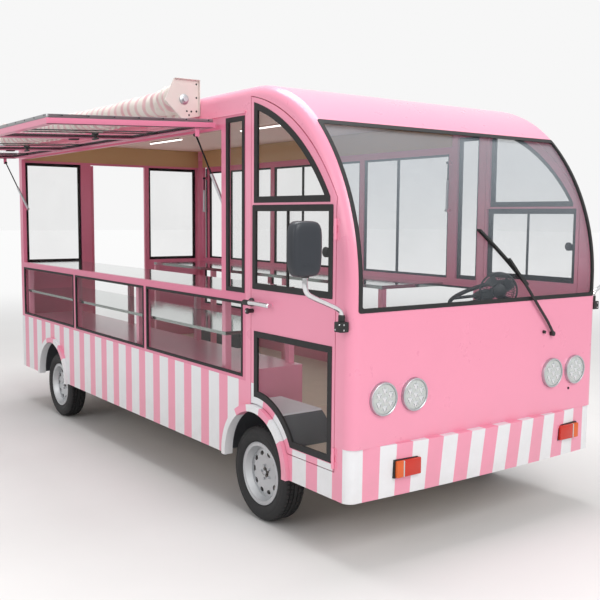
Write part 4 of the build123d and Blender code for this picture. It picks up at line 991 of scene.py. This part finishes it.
def make_flap_trim(side, name, body):
    place = on_flap(side)
    rail, rivets, seals, latches = Shape(), Shape(), Shape(), Shape()
    low, high, width = 0.0152, 0.0345, 0.030
    glass_in, glass_out = -0.0052, 0.0002
    rivet_out, bead = 0.028, 0.016
    near, far = 0.070, 0.960
    knob = [(0, 0), (0.021, 0), (0.021, 0.010), (0.011, 0.014), (0.011, 0.028), (0, 0.028)]

    def strip(x0, x1, d0, d1, inner, outer):
        """Rubber on both faces of the glass."""
        seals.box((x0, inner, d0), (x1, glass_in, d1), place)
        seals.box((x0, glass_out, d0), (x1, outer, d1), place)

    rail.box((FLAP_REAR_X, low, FLAP_FAR - width), (FLAP_FRONT_X, high, FLAP_FAR), place)
    for x0, x1 in ((FLAP_FRONT_X - width, FLAP_FRONT_X), (FLAP_REAR_X, FLAP_REAR_X + width)):
        rail.box((x0, low, 0.030), (x1, high, FLAP_FAR - width), place)
    along = Vector(place((1, 0, 0))) - Vector(place((0, 0, 0)))
    outward = Vector(place((0, 1, 0))) - Vector(place((0, 0, 0)))
    downward = Vector(place((0, 0, 1))) - Vector(place((0, 0, 0)))
    dome = [(0.0050, 0.0), (0.0042, 0.0018), (0.0, 0.0026)]
    for k in range(24):
        x = FLAP_REAR_X + 0.03 + (FLAP_FRONT_X - FLAP_REAR_X - 0.06) * k / 23
        rivets.lathe(dome, place((x, rivet_out, FLAP_FAR)), downward, along, 12)
        rivets.lathe(dome, place((x, high, FLAP_FAR - 0.015)), outward, along, 12)
    for k in range(7):
        down = 0.06 + 0.145 * k
        rivets.lathe(dome, place((FLAP_FRONT_X, rivet_out, down)), along, downward, 12)
        rivets.lathe(dome, place((FLAP_REAR_X, rivet_out, down)), -along, downward, 12)
    for front, back in zip(FLAP_EDGES[0::2], FLAP_EDGES[1::2]):
        for x0, x1, d0, d1 in (
            (back, front, near, near + bead), (back, front, far - bead, far),
            (back, back + bead, near + bead, far - bead), (front - bead, front, near + bead, far - bead)
        ):
            strip(x0, x1, d0, d1, -0.0070, 0.0090)
    for bar in (-0.950, -2.200, -3.420):
        strip(bar - 0.007, bar + 0.007, 0.086, 0.944, -0.0100, 0.0070)
        foot = place((bar, -0.0100, 0.500))
        latches.lathe(knob, foot, -outward, along, 24)
        latches.box((bar - 0.032, -0.0500, 0.490), (bar + 0.032, -0.0400, 0.510), place)
    for bar in (-1.372, -2.671):
        latches.box((bar - 0.020, -0.0230, 0.440), (bar + 0.020, -0.0152, 0.500), place)
    for x0, x1 in ((FLAP_FRONT_X - 0.020, FLAP_FRONT_X + 0.008), (FLAP_REAR_X - 0.008, FLAP_REAR_X + 0.020)):
        seals.box((x0, -0.0166, 0.036), (x1, -0.0153, FLAP_FAR - 0.005), place)
    finish_piece("flap_rails_" + name, rail, "riveted", body, 30.0, bevel=0.002)
    finish_piece("flap_rivets_" + name, rivets, "dark_steel", body, 50.0)
    finish_piece("flap_seals_" + name, seals, "seal", body, 30.0)
    if side < 0:
        finish_piece("flap_latches_" + name, latches, "black", body, 30.0, bevel=0.003)


make_flap_trim(-1, "right", FLAP_BODIES[0])
make_flap_trim(1, "left", FLAP_BODIES[1])


# Door locks, levers and window latches
def make_small_fittings():
    lever_z, lock_x, lock_z = 1.270, 0.004, 1.222
    rose = [(0.0, 0.0), (0.024, 0.0), (0.024, 0.010), (0.017, 0.020), (0.0, 0.022)]
    lock = [(0.0, 0.0), (0.012, 0.0), (0.012, 0.030), (0.017, 0.034), (0.017, 0.044), (0.0, 0.046)]
    key = [(0.0, 0.0), (0.006, 0.0), (0.006, 0.003), (0.0, 0.003)]
    latch = [(0.0, 0.0), (0.026, 0.0), (0.026, 0.008), (0.018, 0.014), (0.0, 0.015)]
    lever = ((-0.012, 1.000, 1.270), (0.000, 1.008, 1.270), (0.030, 1.010, 1.271),
             (0.120, 1.011, 1.272), (0.200, 1.010, 1.270), (0.222, 1.003, 1.269))
    for side, name, body in ((-1, "right", DOOR_BODIES[0]), (1, "left", DOOR_BODIES[1])):
        black, bright = Shape(), Shape()
        y = side * HALF
        out = (0, side, 0)
        black.lathe(rose, P(-0.002, y, lever_z), out, AHEAD, 32)
        black.tube([P(x, side * 1.009, lever_z) for x in (-0.022, -0.010, 0.004, 0.018, 0.036)], 0.0155, 20)
        black.lathe(lock, P(lock_x, y, lock_z), out, AHEAD, 32)
        bright.lathe(key, P(lock_x, y + side * 0.046, lock_z), out, AHEAD, 20)
        black.lathe(latch, P(0.660, y - side * 0.010, 1.575), out, AHEAD, 28)
        black.box(P(0.665, min(y, y - side * 0.036), 1.550), P(0.695, max(y, y - side * 0.036), 1.590))
        bright.tube(smooth_line([P(x, side * reach, z) for x, reach, z in lever]), 0.0135, 20)
        finish_piece("door_lock_" + name, black, "black", body, 40.0, bevel=0.0015)
        finish_piece("door_lever_" + name, bright, "chrome", body, 40.0)


make_small_fittings()


# Steering wheel with its column shroud and two stalks
def make_steering_wheel():
    shape = Shape()
    centre = P(0.440, 0.420, 1.290)
    tilt = radians(65.0)
    up = Vector((-cos(tilt), 0, sin(tilt)))
    across = Vector((0, 1, 0))
    ahead = across.cross(up)
    shape.lathe(bead_ring(0.200, 0.0125, 14), centre, up, across, 72)
    hub = [(0.0, -0.030), (0.044, -0.030), (0.060, -0.008), (0.056, 0.006), (0.036, 0.014), (0.0, 0.016)]
    shape.lathe(hub, centre, up, across, 40)
    for turn in (-20, 90, 200):
        out = across * cos(radians(turn)) + ahead * sin(radians(turn))
        spoke = [centre + out * 0.03 - up * 0.012, centre + out * 0.10 - up * 0.006, centre + out * 0.197]
        shape.tube(smooth_line(spoke), 0.0095, 12)
    shroud = [(0.0, -0.036), (0.040, -0.036), (0.052, -0.10), (0.050, -0.24), (0.030, -0.30), (0.022, -0.31),
              (0.022, -0.86), (0.0, -0.86)]
    shape.lathe(shroud, centre, up, across, 32)
    for way in (-1, 1):
        start = centre - up * 0.085 + across * way * 0.04
        stalk = [start, start + across * way * 0.09 - up * 0.01, start + across * way * 0.15]
        shape.tube(smooth_line(stalk), 0.006, 10)
        shape.tube([start + across * way * 0.135, start + across * way * 0.175], 0.010, 12)
    piece = finish_piece("steering_wheel_rim", shape, "black", "body", 40.0)
    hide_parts("steering_wheel")


make_steering_wheel()


# Small fan on the dashboard, in a wire guard
def make_fan():
    shape = Shape()
    wire = 0.0011
    centre = P(0.720, 0.252, 1.331)
    ahead = Vector((0.80, -0.60, 0.0))
    across = Vector((0.60, 0.80, 0.0))
    up = Vector((0, 0, 1))

    def at(radius, turn, depth):
        return centre + (across * cos(turn) + up * sin(turn)) * radius + ahead * depth

    rings = ((0.106, 0.0, 0.0054), (0.098, -0.040, 0.0026), (0.074, 0.020, 0.0016), (0.060, -0.052, 0.0016))
    for radius, depth, bead in rings:
        shape.lathe(bead_ring(radius, bead, 8), centre + ahead * depth, ahead, across, 60)
    for k in range(36):
        turn = 2 * pi * k / 36
        front = [at(0.050, turn, 0.028), at(0.074, turn + 0.10, 0.020), at(0.105, turn + 0.22, 0.0)]
        back = [at(0.105, turn, 0.0), at(0.098, turn + 0.05, -0.040), at(0.020, turn + 0.2, -0.054)]
        shape.tube(front, wire, 6)
        shape.tube(back, wire, 6)
    nose = [(0.0, 0.036), (0.024, 0.034), (0.038, 0.026), (0.042, 0.014), (0.040, -0.006), (0.0, -0.006)]
    shape.lathe(nose, centre, ahead, across, 40)
    shape.lathe([(0.0, -0.056), (0.024, -0.054), (0.024, -0.006), (0.0, -0.006)], centre, ahead, across, 32)
    for k in range(4):
        rows = []
        for i in range(7):
            turn = pi * k / 2 + 0.9 * i / 6
            depth = -0.034 + 0.024 * i / 6
            rows.append([at(r, turn + 0.2 * (r - 0.02) / 0.07, depth) for r in (0.022, 0.045, 0.070, 0.090)])
        shape.grid(rows)
    shape.tube([at(0.104, -pi / 2, 0.0), P(0.720, 0.252, 1.180), P(0.724, 0.252, 1.134)], 0.008, 16)
    foot = [(0.0, 0.0), (0.042, 0.0), (0.040, 0.008), (0.014, 0.016), (0.0, 0.016)]
    shape.lathe(foot, P(0.724, 0.252, 1.1305), up, across, 40)
    finish_piece("cab_fan", shape, "black", "body", 40.0)


make_fan()


# Driver's seat: two stitched cushions on the plain base
def make_seat():
    def cushion(name, centre, size, puff):
        shape = Shape()
        rows = []
        layers, around = 25, 48
        for i in range(layers):
            v = -1 + 2 * i / (layers - 1)
            pull = (1 - abs(v) ** 7) ** (1 / 7)
            row = []
            for j in range(around):
                turn = 2 * pi * j / around
                a = squared(cos(turn), 0.34) * pull
                b = squared(sin(turn), 0.34) * pull
                seam = 0.94 + 0.06 * abs(sin(pi * (b + 1) * 2)) ** 0.5
                swell = 1 + puff * (1 - a * a) * (1 - b * b)
                row.append(centre + Vector((size.x / 2 * a, size.y / 2 * b, size.z / 2 * v * swell * seam)))
            rows.append(row)
        shape.grid(rows, close_across=True)
        shape.cap(rows[0])
        shape.cap(rows[-1], flip=True)
        return finish_piece(name, shape, "leather", "body", 60.0)

    pad = cushion("seat_pad", P(-0.060, 0.395, 0.806), Vector((0.424, 0.444, 0.088)), 0.10)
    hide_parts("seat_cushion")
    back = cushion("seat_back", P(-0.228, 0.395, 1.002), Vector((0.082, 0.444, 0.296)), 0.04)


make_seat()


# Floor, sky and lamps
def make_stage():
    shown_level, light_level = 0.93, 0.50
    fade_start, fade_end = 3.2, 15.0
    size = 90.0
    mesh = bpy.data.meshes.new("ground")
    corners = [(-size, -size, 0), (size, -size, 0), (size, size, 0), (-size, size, 0)]
    mesh.from_pydata(corners, [], [(0, 1, 2, 3)])
    ground = bpy.data.objects.new("ground", mesh)
    ground.location = P(-1.5, 0, -0.001)
    bpy.context.scene.collection.objects.link(ground)
    n = Nodes("ground_m")
    length = n.add("ShaderNodeVectorMath", operation="LENGTH")
    n.join(n.place(), length.inputs[0])
    fade = n.ramp(length.outputs["Value"], fade_start, fade_end, smooth=True)
    ray = n.add("ShaderNodeLightPath")
    far = n.times(fade, ray.outputs["Is Camera Ray"])
    near = n.mix(n.noise(0.8), srgb(224, 223, 222), srgb(232, 231, 230))
    n.set(base=n.mix(far, near, (0.0, 0.0, 0.0, 1.0)), rough=0.9, specular=0.1)
    n.set(glow_colour=(1.0, 1.0, 1.0, 1.0), glow=n.times(far, shown_level))
    mesh.materials.append(n.material)
    world = bpy.data.worlds.new("world")
    bpy.context.scene.world = world
    world.use_nodes = True
    tree = world.node_tree
    background = tree.nodes["Background"]
    path = tree.nodes.new("ShaderNodeLightPath")
    seen = path.outputs["Is Camera Ray"]
    for kind in ("Is Transmission Ray", "Is Glossy Ray"):
        most = tree.nodes.new("ShaderNodeMath")
        most.operation = "MAXIMUM"
        tree.links.new(seen, most.inputs[0])
        tree.links.new(path.outputs[kind], most.inputs[1])
        seen = most.outputs[0]
    level = tree.nodes.new("ShaderNodeMapRange")
    level.inputs["To Min"].default_value = light_level
    level.inputs["To Max"].default_value = shown_level
    tree.links.new(seen, level.inputs["Value"])
    tree.links.new(level.outputs["Result"], background.inputs["Strength"])
    background.inputs["Color"].default_value = (1.0, 1.0, 1.0, 1.0)
    for name, place, aim, power, width in (
        ("key", (9.0, -1.0, 7.5), (-0.5, 0.0, 1.2), 560.0, 6.0),
        ("fill", (1.0, -10.0, 5.0), (-1.5, 0.0, 1.0), 170.0, 6.0),
        ("top", (-2.0, 0.0, 9.0), (-2.0, 0.0, 0.0), 600.0, 6.0),
    ):
        data = bpy.data.lights.new(name, "AREA")
        data.energy = power
        data.size = width
        lamp = bpy.data.objects.new(name, data)
        start = P(*place)
        lamp.location = start
        lamp.rotation_euler = (P(*aim) - start).to_track_quat("-Z", "Y").to_euler()
        bpy.context.scene.collection.objects.link(lamp)


make_stage()
bpy.context.scene.view_settings.view_transform = "Standard"
